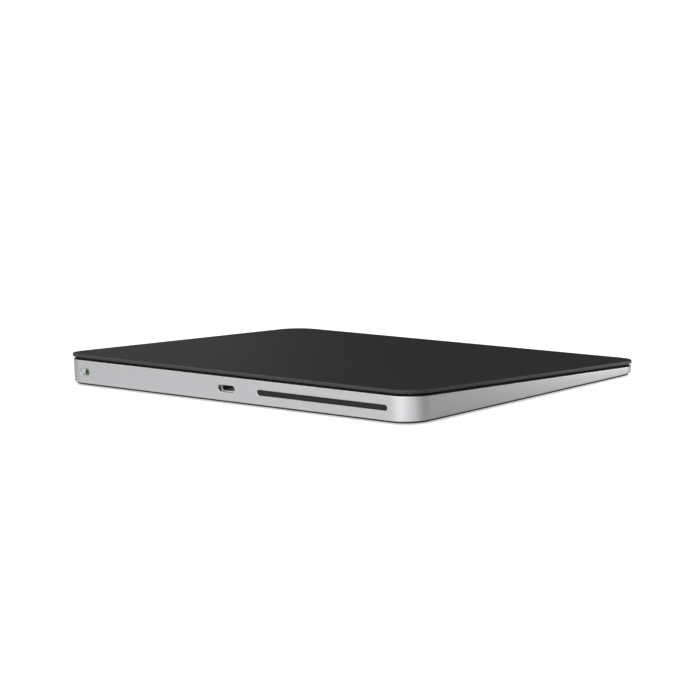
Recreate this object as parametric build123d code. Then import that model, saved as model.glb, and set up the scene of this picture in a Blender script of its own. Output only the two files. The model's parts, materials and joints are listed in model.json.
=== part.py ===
from build123d import *
import os
from math import atan, cos, sin, tan

# A wedge-shaped desk trackpad. Lengths are in millimetres. X runs across the
# width, +Y points to the thick rear edge that holds the port, and Z is up.
# The origin lies on the table, under the middle of the glass.

# Overall size, standing on its feet
width = 160.0
depth = 114.9
rear_height = 10.9
front_height = 4.9
corner_radius = 8.8

# Every cut runs past its faces by this much
overrun = 1.0

# Touch surface, from the glass downwards
glass_thickness = 1.1
glass_rim_chamfer = 0.3
glass_under_chamfer = 0.15
sensor_thickness = 0.5
sensor_inset = 2.9
sensor_corner = 6.0
stiffener_thickness = 0.6
stiffener_inset = 5.6
stiffener_corner = 4.0
press_travel = 0.2
shift_travel = 0.15

# Aluminium frame
frame_inset = 0.25
wall_thickness = 1.8
rim_gap = 0.87
frame_edge_chamfer = 0.2

# Rubber seal that darkens the gap between the rim and the glass
seal_inset = 0.6
seal_width = 0.9
seal_height = 0.5

# Bottom cover, its adhesive and the feet
foot_height = 0.45
foot_recess = 0.25
foot_diameter = 9.0
foot_inset = 14.0
foot_edge_chamfer = 0.15
cover_thickness = 0.55
cover_inset = 1.0
cover_edge_chamfer = 0.2
adhesive_thickness = 0.15
adhesive_width = 1.1
adhesive_inset = 0.2

# Chassis plate, screwed from below to lugs of the frame
chassis_thickness = 0.6
chassis_clearance = 0.3
lug_width = 6.0
lug_reach = 2.2
lug_thickness = 0.8
front_lug_share = 0.24
rear_lug_share = 0.24
side_lug_share = 0.17
bead_height = 0.4
bead_width = 3.0
bead_clearance = 1.5
bead_count = 3

# Small screws, whose round shapes and holes have few sides
small_round_sides = 8
screw_radius = 0.6
screw_clearance = 0.1
screw_fit = 0.05
screw_head_radius = 1.15
screw_head_height = 0.4
chassis_screw_engagement = 0.6

# Force flexures: four spring leaves between the touch surface and the frame
flexure_thickness = 0.35
flexure_width = 9.0
flexure_pad_length = 8.0
flexure_neck_width = 4.6
flexure_span = 18.5
flexure_corner = 1.2
flexure_boss_height = 0.4
flexure_wall_gap = 3.2
flexure_end_gap = 6.9
flexure_screw_pitch = 5.4
gel_pad_thickness = 0.4
gel_pad_size = 7.0
gauge_length = 6.0
gauge_width = 3.2
gauge_thickness = 0.12
ledge_thickness = 1.4
ledge_margin = 0.5

# Window of black plastic in the rear wall, with the antenna behind it
window_height = 1.85
window_near_end = 14.06
window_corner_gap = 1.34
window_flange = 0.9
window_flange_thickness = 1.0
antenna_thickness = 0.2
antenna_inset = 1.85
antenna_tail_width = 4.0
antenna_tail_length = 9.2
antenna_tail_inset = 6.0

# Charging port in the middle of the rear wall
port_width = 7.65
port_height = 2.27
port_step = 0.2
port_fit = 0.03
port_shell_wall = 0.35
port_depth = 6.6
port_socket_depth = 4.9
port_body_length = 1.6
contact_count = 8
contact_pitch = 0.75
contact_width = 0.42
contact_length = 3.2
contact_thickness = 0.12
tongue_thickness = 0.25
saddle_sheet = 0.6
saddle_length = 4.6
saddle_foot = 3.2
saddle_overhang = 0.6
port_flex_overlap = 4.0
port_flex_gap = 0.2

# Power switch in the rear wall
switch_slot_length = 4.6
switch_slot_height = 2.4
switch_corner_gap = 0.05
knob_length = 2.25
knob_clearance = 0.1
knob_recess = 0.1
knob_thickness = 0.35
face_recess = 0.5
face_clearance = 0.05
stem_height = 0.7
stem_width = 1.2
carriage_length = 3.0
carriage_height = 1.6
carriage_depth = 1.5
switch_housing_depth = 4.0
switch_housing_gap = 0.1
switch_housing_wall = 0.8
switch_bracket_sheet = 0.5
switch_bracket_foot = 5.0
switch_contact_size = 0.9
switch_contact_thickness = 0.15

# Battery
cell_depth_share = 0.3926
cell_edge_round = 0.8
cell_gap = 0.4
cell_swell_gap = 0.25
cell_tape_thickness = 0.15
cell_tape_width = 8.0
cell_tape_inset = 2.0
cell_port_gap = 0.5
cell_side_gap = 2.4
protection_board_width = 3.4
protection_board_gap = 0.15
protection_board_thickness = 0.7
protection_board_share = 0.7
protection_chip_inset = 0.15
battery_lead_width = 3.5
battery_lead_setback = 0.45

# Logic board
board_thickness = 0.8
board_post_radius = 1.5
board_post_inset = 3.0
board_port_gap = 7.4
board_wall_gap = 2.2
board_ledge_gap = 1.0
board_cell_gap = 5.0
board_corner = 1.2
can_height = 1.5
can_chamfer = 0.25
rear_can_depth = 9.0
rear_can_gap = 4.8
chip_height = 0.9
chip_size = 5.0
small_chip_size = 3.0
connector_length = 7.0
connector_width = 2.4
connector_height = 0.9
flex_thickness = 0.15

# Small board beside the battery, which reads the power switch
side_board_width = 10.0
side_board_gap = 0.8
side_board_thickness = 0.8
side_board_post_height = 0.9
side_chip_share = 0.33
side_socket_share = 0.67
switch_flex_width = 1.4
switch_flex_gap = 0.3
switch_flex_overlap = 7.0

# Haptic actuator: an iron core with a coil, which pulls a plate of the touch surface
core_width = 20.0
core_bar = 5.0
core_leg_length = 15.0
core_leg = 3.6
core_middle_leg = 5.2
core_cell_gap = 5.6
coil_wall = 1.7
coil_cover = 0.55
coil_top_gap = 0.375
coil_length = 11.0
coil_clearance = 0.15
actuator_foot = 0.65
actuator_ear = 3.4
pull_gap = 0.3
pull_plate_thickness = 0.8
pull_flange_length = 6.0
pull_flange_thickness = 0.6
pull_plate_lift = 0.3
sensor_connector_height = 1.2
sensor_connector_setback = 14.0
sensor_flex_length = 14.0
sensor_flex_width = 6.0
sensor_plug_gap = 0.35
sensor_window_margin = 1.5

# Levels that follow from the sizes above
tilt = atan((rear_height - front_height) / depth)
middle_height = (rear_height + front_height) / 2
cover_bottom = foot_height
cover_top = cover_bottom + cover_thickness
frame_bottom = cover_top + adhesive_thickness
chassis_top = frame_bottom + chassis_thickness

# Depths below the top of the glass, square to it
sensor_top = glass_thickness
stiffener_top = sensor_top + sensor_thickness
stiffener_under = stiffener_top + stiffener_thickness
leaf_top = stiffener_under + flexure_boss_height
leaf_under = leaf_top + flexure_thickness
ledge_top = leaf_under + gel_pad_thickness
rim_top = glass_thickness + rim_gap

# Places that follow from the frame
frame_width = width - 2 * frame_inset
frame_depth = depth - 2 * frame_inset
frame_corner = corner_radius - frame_inset
inner_half_width = frame_width / 2 - wall_thickness
inner_half_depth = frame_depth / 2 - wall_thickness
rear_face = frame_depth / 2
flexure_outer_x = inner_half_width - flexure_wall_gap - flexure_pad_length / 2
flexure_inner_x = flexure_outer_x - flexure_span
flexure_y = inner_half_depth - flexure_end_gap - flexure_width / 2
ledge_inner_x = flexure_outer_x - flexure_pad_length / 2 - ledge_margin
ledge_depth = flexure_width + 2 * ledge_margin
window_length = frame_width / 2 - frame_corner - window_corner_gap - window_near_end


def surface_height(y, below=0):
    """Height, at y, of the plane that lies a distance below the top of the glass."""
    return middle_height + y * tan(tilt) - below / cos(tilt)


def glass_plane(below=0, x=0, y=0):
    """Plane parallel to the glass, a distance below its top, centred over x and y."""
    origin = (x, y, surface_height(y, below))
    return Plane(origin=origin, x_dir=(1, 0, 0), z_dir=(0, -sin(tilt), cos(tilt)))


# Middle of the rear wall's height, where the window, port and switch lie
rear_centre = (frame_bottom + surface_height(rear_face, rim_top)) / 2


def rear_plane(x, y):
    """Upright plane at y that faces the front, with its centre at the features' height."""
    return Plane(origin=(x, y, rear_centre), x_dir=(1, 0, 0), z_dir=(0, -1, 0))


def rear_slot(x, y, length, height, reach):
    """Slot shape that starts at y and runs towards the front by its reach."""
    return extrude(rear_plane(x, y) * SlotOverall(length, height), reach)


def rear_block(x, y, length, height, reach, rise=0):
    """Block that starts at y and runs towards the front, raised from the features' height."""
    return extrude(rear_plane(x, y) * Pos(0, rise) * Rectangle(length, height), reach)


def plate(outline, bottom, top):
    """Level plate of an outline."""
    return extrude(Pos(0, 0, bottom) * outline, top - bottom)


def tilted_plate(outline, top_below, bottom_below):
    """Plate with upright sides between two planes parallel to the glass."""
    block = plate(outline, -rear_height, 2 * rear_height)
    block = split(block, bisect_by=glass_plane(top_below), keep=Keep.BOTTOM)
    return split(block, bisect_by=glass_plane(bottom_below), keep=Keep.TOP)


def frame_outline(inset=0):
    """The frame's outline, drawn in from its outer face."""
    return RectangleRounded(
        frame_width - 2 * inset, frame_depth - 2 * inset, frame_corner - inset
    )


def inner_outline(inset, radius):
    """Outline drawn in from the frame's inner wall."""
    return RectangleRounded(
        2 * (inner_half_width - inset), 2 * (inner_half_depth - inset), radius
    )


def block_between(x_low, x_high, y_low, y_high, bottom, top):
    """Level block between pairs of places."""
    outline = Pos((x_low + x_high) / 2, (y_low + y_high) / 2) * Rectangle(
        x_high - x_low, y_high - y_low
    )
    return plate(outline, bottom, top)


def small_round(radius, x=0, y=0):
    """Outline of a small round thing inside the case, drawn with few sides."""
    return Pos(x, y) * RegularPolygon(radius, small_round_sides)


def down_screw(x, y, seat, reach):
    """Screw with a flat head that sits on a level seat and reaches down."""
    head = plate(small_round(screw_head_radius, x, y), seat, seat + screw_head_height)
    return head + plate(small_round(screw_radius, x, y), seat - reach, seat)


def down_hole(x, y, seat, reach, clearance):
    """Round hole under a screw's seat."""
    return plate(small_round(screw_radius + clearance, x, y), seat - reach, seat + overrun)


# Corners as pairs of signs for X and Y
corners = {
    "front_left": (-1, -1),
    "front_right": (1, -1),
    "rear_left": (-1, 1),
    "rear_right": (1, 1),
}


# Frame, lugs and ledges

def lug_places():
    """Where each lug's screw goes, and the angle at which the lug leaves its wall."""
    front = -inner_half_depth + lug_reach
    rear = inner_half_depth - lug_reach
    side = inner_half_width - lug_reach
    places = []
    for sign in (-1, 1):
        places.append((sign * front_lug_share * frame_width, front, 0))
        places.append((sign * rear_lug_share * frame_width, rear, 180))
        places.append((sign * side, -side_lug_share * frame_depth, sign * 90))
    return places


def lug(x, y, angle):
    """Lug with a round end, rooted in the wall behind it."""
    root = lug_reach + wall_thickness / 2
    outline = Circle(lug_width / 2) + Pos(0, -root / 2) * Rectangle(lug_width, root)
    return Pos(x, y) * Rot(0, 0, angle) * plate(outline, chassis_top, chassis_top + lug_thickness)


def ledge(side, end):
    """Ledge in a corner, parallel to the glass, that carries a flexure's outer end."""
    outer_x = inner_half_width + wall_thickness / 2
    outline = Pos(side * (ledge_inner_x + outer_x) / 2, end * flexure_y) * Rectangle(
        outer_x - ledge_inner_x, ledge_depth
    )
    slab = tilted_plate(outline, ledge_top, ledge_top + ledge_thickness)
    return slab & plate(frame_outline(), frame_bottom, rear_height)


def switch_slot_x():
    """Middle of the switch slot, whose end stops short of the rounded corner."""
    return frame_width / 2 - frame_corner - switch_corner_gap - switch_slot_length / 2


def window_x():
    """Middle of the antenna window."""
    return -(window_near_end + window_length / 2)


def make_enclosure_frame():
    block = plate(frame_outline(), frame_bottom, rear_height)
    block = split(block, bisect_by=glass_plane(rim_top), keep=Keep.BOTTOM)
    rims = block.faces().sort_by(Axis.Z)[0].edges() + block.faces().sort_by(Axis.Z)[-1].edges()
    block = chamfer(rims, frame_edge_chamfer)
    frame = block - plate(
        frame_outline(wall_thickness), frame_bottom - overrun, rear_height + overrun
    )
    for x, y, angle in lug_places():
        frame += lug(x, y, angle)
        frame -= down_hole(x, y, chassis_top + lug_thickness, lug_thickness + overrun, screw_fit)
    for side, end in corners.values():
        frame += ledge(side, end)
    wall_cut = wall_thickness + 2 * overrun
    cut_start = rear_face + overrun
    frame -= rear_slot(window_x(), cut_start, window_length, window_height, wall_cut)
    frame -= rear_slot(0, cut_start, port_width, port_height, wall_cut)
    frame -= rear_slot(
        switch_slot_x(), cut_start, switch_slot_length, switch_slot_height, wall_cut
    )
    return frame


def make_perimeter_seal():
    outline = frame_outline(seal_inset) - frame_outline(seal_inset + seal_width)
    return tilted_plate(outline, rim_top - seal_height, rim_top)


# Bottom cover, adhesive and feet

def foot_place(side, end):
    return side * (width / 2 - foot_inset), end * (depth / 2 - foot_inset)


def make_bottom_cover():
    inset = cover_inset - frame_inset
    cover = plate(frame_outline(inset), cover_bottom, cover_top)
    cover = chamfer(cover.faces().sort_by(Axis.Z)[0].edges(), cover_edge_chamfer)
    for side, end in corners.values():
        x, y = foot_place(side, end)
        cover -= plate(
            Pos(x, y) * Circle(foot_diameter / 2), cover_bottom - overrun, cover_bottom + foot_recess
        )
    return cover


def make_cover_adhesive():
    inset = cover_inset - frame_inset + adhesive_inset
    outline = frame_outline(inset) - frame_outline(inset + adhesive_width)
    return plate(outline, cover_top, frame_bottom)


def make_foot(side, end):
    x, y = foot_place(side, end)
    foot = plate(Pos(x, y) * Circle(foot_diameter / 2), 0, foot_height + foot_recess)
    return chamfer(foot.faces().sort_by(Axis.Z)[0].edges(), foot_edge_chamfer)


# Chassis plate

def chassis_screw(x, y, growth):
    """Countersunk screw from below, or its hole when grown by a clearance."""
    shank_outline = small_round(screw_radius + growth, x, y)
    head = loft(
        [
            Pos(0, 0, frame_bottom) * small_round(screw_head_radius + growth, x, y),
            Pos(0, 0, frame_bottom + screw_head_height) * shank_outline,
        ],
        ruled=True,
    )
    return head + plate(shank_outline, frame_bottom, chassis_top + chassis_screw_engagement)


def board_edges():
    """Left, inner left, right, front, step and rear edges of the logic board."""
    left = -inner_half_width + board_wall_gap
    inner_left = -ledge_inner_x + board_ledge_gap
    right = -port_width / 2 - board_port_gap
    front = cell_edges()[2]
    step = flexure_y - ledge_depth / 2 - board_ledge_gap
    rear = inner_half_depth - board_wall_gap
    return left, inner_left, right, front, step, rear


def cell_edges():
    """Left, right, front and rear edges of the bay that the two cells fill."""
    left = -port_width / 2 - board_port_gap + board_cell_gap
    right = ledge_inner_x - cell_side_gap
    rear = inner_half_depth - port_depth - port_body_length - cell_port_gap
    cell_depth = cell_depth_share * 2 * inner_half_depth
    return left, right, rear - cell_depth, rear


def board_post_places():
    """Screw places of the logic board: one at each end of the front and one at the rear."""
    left, inner_left, right, front, step, rear = board_edges()
    return [
        (left + board_post_inset, front + board_post_inset),
        (right - board_post_inset, front + board_post_inset),
        (inner_left + board_post_inset, rear - board_post_inset),
    ]


def actuator_centre():
    """X and Y of the middle of the actuator's core."""
    front = cell_edges()[2]
    return 0, front - core_cell_gap - core_width / 2


def bead_rows():
    """Y of the stiffening beads, spread between the front lugs and the actuator."""
    front = -inner_half_depth + lug_reach + lug_width / 2
    rear = actuator_centre()[1] - core_width / 2 - actuator_ear
    pitch = (rear - front) / (bead_count + 1)
    return [front + pitch * (number + 1) for number in range(bead_count)]


def make_chassis_plate():
    chassis = plate(inner_outline(chassis_clearance, frame_corner), frame_bottom, chassis_top)
    for side in (-1, 1):
        notch_low = ledge_inner_x - chassis_clearance
        notch = Pos(side * (notch_low + inner_half_width) / 2, -flexure_y) * Rectangle(
            inner_half_width - notch_low, ledge_depth + 2 * chassis_clearance
        )
        chassis -= plate(notch, frame_bottom - overrun, chassis_top + overrun)
    bead_end = flexure_inner_x - flexure_pad_length / 2 - bead_clearance
    for y in bead_rows():
        outline = Pos(0, y) * SlotOverall(2 * bead_end, bead_width)
        chassis += plate(outline, chassis_top, chassis_top + bead_height)
    board_bottom = board_levels()[0]
    for x, y in board_post_places():
        chassis += plate(small_round(board_post_radius, x, y), chassis_top, board_bottom)
        chassis -= down_hole(x, y, board_bottom, board_bottom - chassis_top, screw_fit)
    for x, y, angle in lug_places():
        chassis -= chassis_screw(x, y, screw_clearance)
    low, high = coil_span()
    window = Pos((low + high) / 2, actuator_centre()[1]) * Rectangle(
        coil_length + 2 * coil_clearance, coil_width() + 2 * coil_clearance
    )
    chassis -= plate(window, frame_bottom - overrun, chassis_top + overrun)
    for x, y in actuator_ear_places() + saddle_foot_places():
        chassis -= down_hole(x, y, chassis_top, chassis_thickness + overrun, screw_fit)
    x, y = switch_bracket_screw()
    chassis -= down_hole(x, y, chassis_top, chassis_thickness + overrun, screw_fit)
    return chassis


def make_chassis_screws():
    return Compound(children=[chassis_screw(x, y, 0) for x, y, angle in lug_places()])


# Touch surface

def make_glass_top():
    outline = RectangleRounded(width, depth, corner_radius)
    glass = tilted_plate(outline, 0, glass_thickness)
    square_to_glass = Axis((0, 0, 0), (0, -sin(tilt), cos(tilt)))
    glass = chamfer(glass.faces().sort_by(square_to_glass)[0].edges(), glass_under_chamfer)
    return chamfer(glass.faces().sort_by(square_to_glass)[-1].edges(), glass_rim_chamfer)


def sensor_window():
    """Opening in the stiffener for the sensor's connector."""
    x, y = sensor_connector_place()
    return Pos(x, y) * Rectangle(
        connector_length + 2 * sensor_window_margin, connector_width + 2 * sensor_window_margin
    )


def sensor_connector_place():
    left, inner_left, right, front, step, rear = board_edges()
    return (left + right) / 2, front + sensor_connector_setback


def make_sensor_board():
    outline = RectangleRounded(width - 2 * sensor_inset, depth - 2 * sensor_inset, sensor_corner)
    return tilted_plate(outline, sensor_top, stiffener_top)


def flexure_screw_places(side, end):
    x = side * flexure_inner_x
    return [(x, end * flexure_y + s * flexure_screw_pitch / 2) for s in (-1, 1)]


def glass_screw(x, y, seat, reach, radius):
    """Round pin square to the glass, from its seat up into the stiffener."""
    return extrude(glass_plane(seat, x, y) * small_round(radius), reach)


def make_stiffener_plate():
    stiffener = tilted_plate(
        inner_outline(stiffener_inset, stiffener_corner), stiffener_top, stiffener_under
    )
    for side, end in corners.values():
        pad = Pos(side * flexure_inner_x, end * flexure_y) * Rectangle(
            flexure_pad_length, flexure_width
        )
        stiffener += tilted_plate(pad, stiffener_under, leaf_top)
    stiffener -= tilted_plate(sensor_window(), 0, stiffener_under + overrun)
    reach = flexure_boss_height + stiffener_thickness + overrun
    for side, end in corners.values():
        for x, y in flexure_screw_places(side, end):
            stiffener -= glass_screw(x, y, leaf_top + overrun, reach, screw_radius + screw_fit)
    return stiffener


def make_flexure_screws():
    screws = []
    reach = flexure_thickness + flexure_boss_height + stiffener_thickness / 2
    for side, end in corners.values():
        for x, y in flexure_screw_places(side, end):
            head = glass_screw(x, y, leaf_under, -screw_head_height, screw_head_radius)
            screws.append(head + glass_screw(x, y, leaf_under, reach, screw_radius))
    return Compound(children=screws)


def make_force_flexure(side, end):
    """Spring leaf with a pad at each end and rounded roots on its narrower neck."""
    pad = Rectangle(flexure_pad_length, flexure_width)
    neck = Rectangle(flexure_span, flexure_neck_width)
    middle_x = (flexure_outer_x + flexure_inner_x) / 2
    outline = (
        Pos(side * flexure_outer_x, end * flexure_y) * pad
        + Pos(side * middle_x, end * flexure_y) * neck
        + Pos(side * flexure_inner_x, end * flexure_y) * pad
    )
    rows = outline.vertices().group_by(Axis.Y)
    outline = fillet(rows[1] + rows[2], flexure_corner)
    leaf = tilted_plate(outline, leaf_top, leaf_under)
    for x, y in flexure_screw_places(side, end):
        leaf -= glass_screw(
            x, y, leaf_under + overrun, flexure_thickness + 2 * overrun, screw_radius + screw_clearance
        )
    return leaf


def make_strain_gauge(side, end):
    x = side * (flexure_outer_x + flexure_inner_x) / 2
    outline = Pos(x, end * flexure_y) * Rectangle(gauge_length, gauge_width)
    return tilted_plate(outline, leaf_under, leaf_under + gauge_thickness)


def make_gel_pad(side, end):
    outline = Pos(side * flexure_outer_x, end * flexure_y) * Rectangle(gel_pad_size, gel_pad_size)
    return tilted_plate(outline, leaf_under, ledge_top)


# Haptic actuator

def coil_width():
    return core_middle_leg + 2 * coil_wall


def core_levels():
    """Bottom and top of the core, whose coil stays clear of the stiffener as it is pressed."""
    coil_front = actuator_centre()[1] - coil_width() / 2
    coil_top = surface_height(coil_front, stiffener_under) - press_travel - coil_top_gap
    return chassis_top + actuator_foot, coil_top - coil_cover


def core_ends():
    """X of the closed end and of the leg tips of the core."""
    x, y = actuator_centre()
    length = core_bar + core_leg_length
    return x - length / 2, x + length / 2


def coil_span():
    """X of the two ends of the coil, midway along the middle leg."""
    closed, tips = core_ends()
    middle = (closed + core_bar + tips) / 2
    return middle - coil_length / 2, middle + coil_length / 2


def actuator_ear_places():
    closed, tips = core_ends()
    x, y = actuator_centre()
    inner = closed + core_bar / 2
    outer = tips - core_bar / 2
    reach = core_width / 2 + actuator_ear / 2
    return [(px, y + s * reach) for px in (inner, outer) for s in (-1, 1)]


def make_actuator_core():
    closed, tips = core_ends()
    x, y = actuator_centre()
    bottom, top = core_levels()
    core = block_between(closed, closed + core_bar, y - core_width / 2, y + core_width / 2, bottom, top)
    for centre, leg in (
        (y - core_width / 2 + core_leg / 2, core_leg),
        (y, core_middle_leg),
        (y + core_width / 2 - core_leg / 2, core_leg),
    ):
        core += block_between(closed, tips, centre - leg / 2, centre + leg / 2, bottom, top)
    return core


def make_actuator_coil():
    low, high = coil_span()
    x, y = actuator_centre()
    bottom, top = core_levels()
    face = Plane(origin=(low, y, (bottom + top) / 2), x_dir=(0, 1, 0), z_dir=(1, 0, 0))
    outline = RectangleRounded(coil_width(), top - bottom + 2 * coil_cover, coil_cover)
    bore = Rectangle(core_middle_leg + 2 * coil_clearance, top - bottom + 2 * coil_clearance)
    return extrude(face * (outline - bore), high - low)


def make_actuator_bracket():
    """Raised rim on the chassis that carries the core and has four screw ears."""
    closed, tips = core_ends()
    x, y = actuator_centre()
    bottom = core_levels()[0]
    half = core_width / 2
    half_window = coil_width() / 2 + coil_clearance
    bracket = block_between(closed, tips, y - half, y + half, chassis_top, bottom)
    bracket -= block_between(
        closed + core_bar, tips + overrun, y - half_window, y + half_window,
        chassis_top - overrun, bottom + overrun,
    )
    for ear_x, ear_y in actuator_ear_places():
        ear = Pos(ear_x, ear_y) * Rectangle(actuator_ear, actuator_ear)
        bracket += plate(ear, chassis_top, bottom)
        bracket -= down_hole(ear_x, ear_y, bottom, actuator_foot + overrun, screw_clearance)
    return bracket


def make_actuator_screws():
    seat = core_levels()[0]
    reach = actuator_foot + chassis_thickness
    return Compound(children=[down_screw(x, y, seat, reach) for x, y in actuator_ear_places()])


def make_pull_plate():
    """Angle of soft iron under the stiffener, whose upright faces the core's leg tips."""
    closed, tips = core_ends()
    x, y = actuator_centre()
    bottom = core_levels()[0]
    near = tips + shift_travel + pull_gap
    half = core_width / 2
    upright_outline = Pos(near + pull_plate_thickness / 2, y) * Rectangle(
        pull_plate_thickness, core_width
    )
    upright = tilted_plate(upright_outline, stiffener_under, rear_height)
    upright = upright & plate(frame_outline(), bottom + pull_plate_lift, rear_height)
    flange_outline = Pos(near + pull_flange_length / 2, y) * Rectangle(pull_flange_length, core_width)
    flange = tilted_plate(flange_outline, stiffener_under, stiffener_under + pull_flange_thickness)
    return upright + flange


# Battery

def cell_levels():
    """Bottom and top of the cells, which stay clear of the stiffener as it is pressed."""
    left, right, front, rear = cell_edges()
    top = surface_height(front, stiffener_under) - press_travel - cell_swell_gap
    return chassis_top + cell_tape_thickness, top


def cell_span(side):
    """X of the two ends of the left or the right cell."""
    left, right, front, rear = cell_edges()
    middle = (left + right) / 2
    if side < 0:
        return left, middle - cell_gap / 2
    return middle + cell_gap / 2, right


def make_battery_cell(side):
    low, high = cell_span(side)
    left, right, front, rear = cell_edges()
    bottom, top = cell_levels()
    cell = block_between(low, high, front, rear, bottom, top)
    return fillet(cell.edges().filter_by(Axis.X), cell_edge_round)


def make_cell_tapes():
    """Two strips of adhesive under each cell."""
    left, right, front, rear = cell_edges()
    tapes = []
    for side in (-1, 1):
        low, high = cell_span(side)
        inset = cell_tape_inset + cell_edge_round
        for start in (front + inset, rear - inset - cell_tape_width):
            tapes.append(
                block_between(
                    low + cell_tape_inset, high - cell_tape_inset, start, start + cell_tape_width,
                    chassis_top, chassis_top + cell_tape_thickness,
                )
            )
    return Compound(children=tapes)


def protection_board_edges():
    left, right, front, rear = cell_edges()
    middle = (front + rear) / 2
    half = protection_board_share * (rear - front) / 2
    high = left - protection_board_gap
    return high - protection_board_width, high, middle - half, middle + half


def make_protection_board():
    low, high, front, rear = protection_board_edges()
    bottom = chassis_top + cell_tape_thickness
    board = block_between(low, high, front, rear, bottom, bottom + protection_board_thickness)
    chip = block_between(
        low + protection_chip_inset,
        high - protection_chip_inset,
        (front + rear) / 2 - small_chip_size / 2,
        (front + rear) / 2 + small_chip_size / 2,
        bottom + protection_board_thickness,
        bottom + protection_board_thickness + chip_height,
    )
    return board + chip


# Logic board

def board_levels():
    """Bottom and top of the board, whose ribbon runs under the port's moulded body."""
    top = rear_centre - port_shell_size()[1] / 2 - port_flex_gap - flex_thickness
    return top - board_thickness, top


def make_logic_board():
    left, inner_left, right, front, step, rear = board_edges()
    bottom, top = board_levels()
    outline = Polyline(
        (left, front),
        (right, front),
        (right, rear),
        (inner_left, rear),
        (inner_left, step),
        (left, step),
        close=True,
    )
    board = plate(make_face(outline), bottom, top)
    board = fillet(board.edges().filter_by(Axis.Z), board_corner)
    for x, y in board_post_places():
        board -= down_hole(x, y, top, board_thickness + overrun, screw_clearance)
    return board


def make_board_screws():
    top = board_levels()[1]
    reach = top - chassis_top
    return Compound(children=[down_screw(x, y, top, reach) for x, y in board_post_places()])


# Shield cans as shares of the board's front part: left, right, front and rear edge
front_can_shares = ((0.08, 0.36, 0.42, 0.88), (0.66, 0.90, 0.42, 0.88))
# Chips as shares of the same part: X, Y
chip_shares = ((0.20, 0.24), (0.45, 0.50), (0.57, 0.34))
small_chip_shares = ((0.34, 0.16), (0.70, 0.24), (0.82, 0.16), (0.45, 0.32))


def board_spot(x_share, y_share):
    """Place on the front part of the logic board."""
    left, inner_left, right, front, step, rear = board_edges()
    return left + x_share * (right - left), front + y_share * (step - front)


def make_shield_can(left_share, right_share, front_share, rear_share):
    top = board_levels()[1]
    x_low, y_low = board_spot(left_share, front_share)
    x_high, y_high = board_spot(right_share, rear_share)
    can = block_between(x_low, x_high, y_low, y_high, top, top + can_height)
    return chamfer(can.faces().sort_by(Axis.Z)[-1].edges(), can_chamfer)


def make_rear_shield_can():
    left, inner_left, right, front, step, rear = board_edges()
    top = board_levels()[1]
    high = rear - rear_can_gap
    can = block_between(
        inner_left + board_corner, antenna_tail_x() - antenna_tail_width,
        high - rear_can_depth, high, top, top + can_height,
    )
    return chamfer(can.faces().sort_by(Axis.Z)[-1].edges(), can_chamfer)


def make_board_chips():
    top = board_levels()[1]
    chips = []
    for shares, size in ((chip_shares, chip_size), (small_chip_shares, small_chip_size)):
        for x_share, y_share in shares:
            x, y = board_spot(x_share, y_share)
            chips.append(plate(Pos(x, y) * Rectangle(size, size), top, top + chip_height))
    return Compound(children=chips)


def sensor_socket():
    """Socket on the logic board, under the sensor's ribbon."""
    x, y = sensor_connector_place()
    y += sensor_flex_length - connector_width
    top = board_levels()[1]
    return plate(
        Pos(x, y) * Rectangle(connector_length, connector_width), top, top + connector_height
    )


def battery_socket_place():
    """Middle of the socket for the battery's lead, beside the chip of its small board."""
    low, high, front, rear = protection_board_edges()
    y = (front + rear) / 2 + small_chip_size / 2 + connector_length / 2
    return board_edges()[2] - connector_width, y


def battery_socket():
    x, y = battery_socket_place()
    top = board_levels()[1]
    return plate(
        Pos(x, y) * Rectangle(connector_width, connector_length), top, top + connector_height
    )


def make_board_connectors():
    return Compound(children=[sensor_socket(), battery_socket()])


def make_battery_lead():
    """Ribbon from the battery's small board up onto its socket."""
    socket_x, y = battery_socket_place()
    top = board_levels()[1] + connector_height + flex_thickness
    bottom = chassis_top + cell_tape_thickness + protection_board_thickness
    front, rear = y - battery_lead_width / 2, y + battery_lead_width / 2
    drop_low = protection_board_edges()[0] + battery_lead_setback
    drop_high = drop_low + flex_thickness
    flat = block_between(
        socket_x - connector_width / 2, drop_high, front, rear, top - flex_thickness, top
    )
    return flat + block_between(drop_low, drop_high, front, rear, bottom, top)


# Touch sensor ribbon

def make_sensor_connector():
    x, y = sensor_connector_place()
    outline = Pos(x, y) * Rectangle(connector_length, connector_width)
    return tilted_plate(outline, stiffener_top, stiffener_top + sensor_connector_height)


def make_sensor_flex():
    """Ribbon under the sensor's connector, ending in a plug over its socket."""
    x, y = sensor_connector_place()
    socket_y = y + sensor_flex_length - connector_width
    under = stiffener_top + sensor_connector_height
    middle = y - connector_width / 2 + sensor_flex_length / 2
    ribbon_outline = Pos(x, middle) * Rectangle(sensor_flex_width, sensor_flex_length)
    ribbon = tilted_plate(ribbon_outline, under, under + flex_thickness)
    plug_outline = Pos(x, socket_y) * Rectangle(sensor_flex_width, connector_width)
    plug = tilted_plate(plug_outline, under, rear_height)
    socket_top = board_levels()[1] + connector_height
    plug = plug & plate(frame_outline(), socket_top + sensor_plug_gap, rear_height)
    return ribbon + plug


# Antenna window

def make_antenna_window():
    insert = rear_slot(window_x(), rear_face, window_length, window_height, wall_thickness)
    flange = rear_slot(
        window_x(),
        rear_face - wall_thickness,
        window_length + 2 * window_flange,
        window_height + 2 * window_flange,
        window_flange_thickness,
    )
    return insert + flange


def antenna_tail_x():
    return board_edges()[2] - antenna_tail_inset - antenna_tail_width / 2


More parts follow.
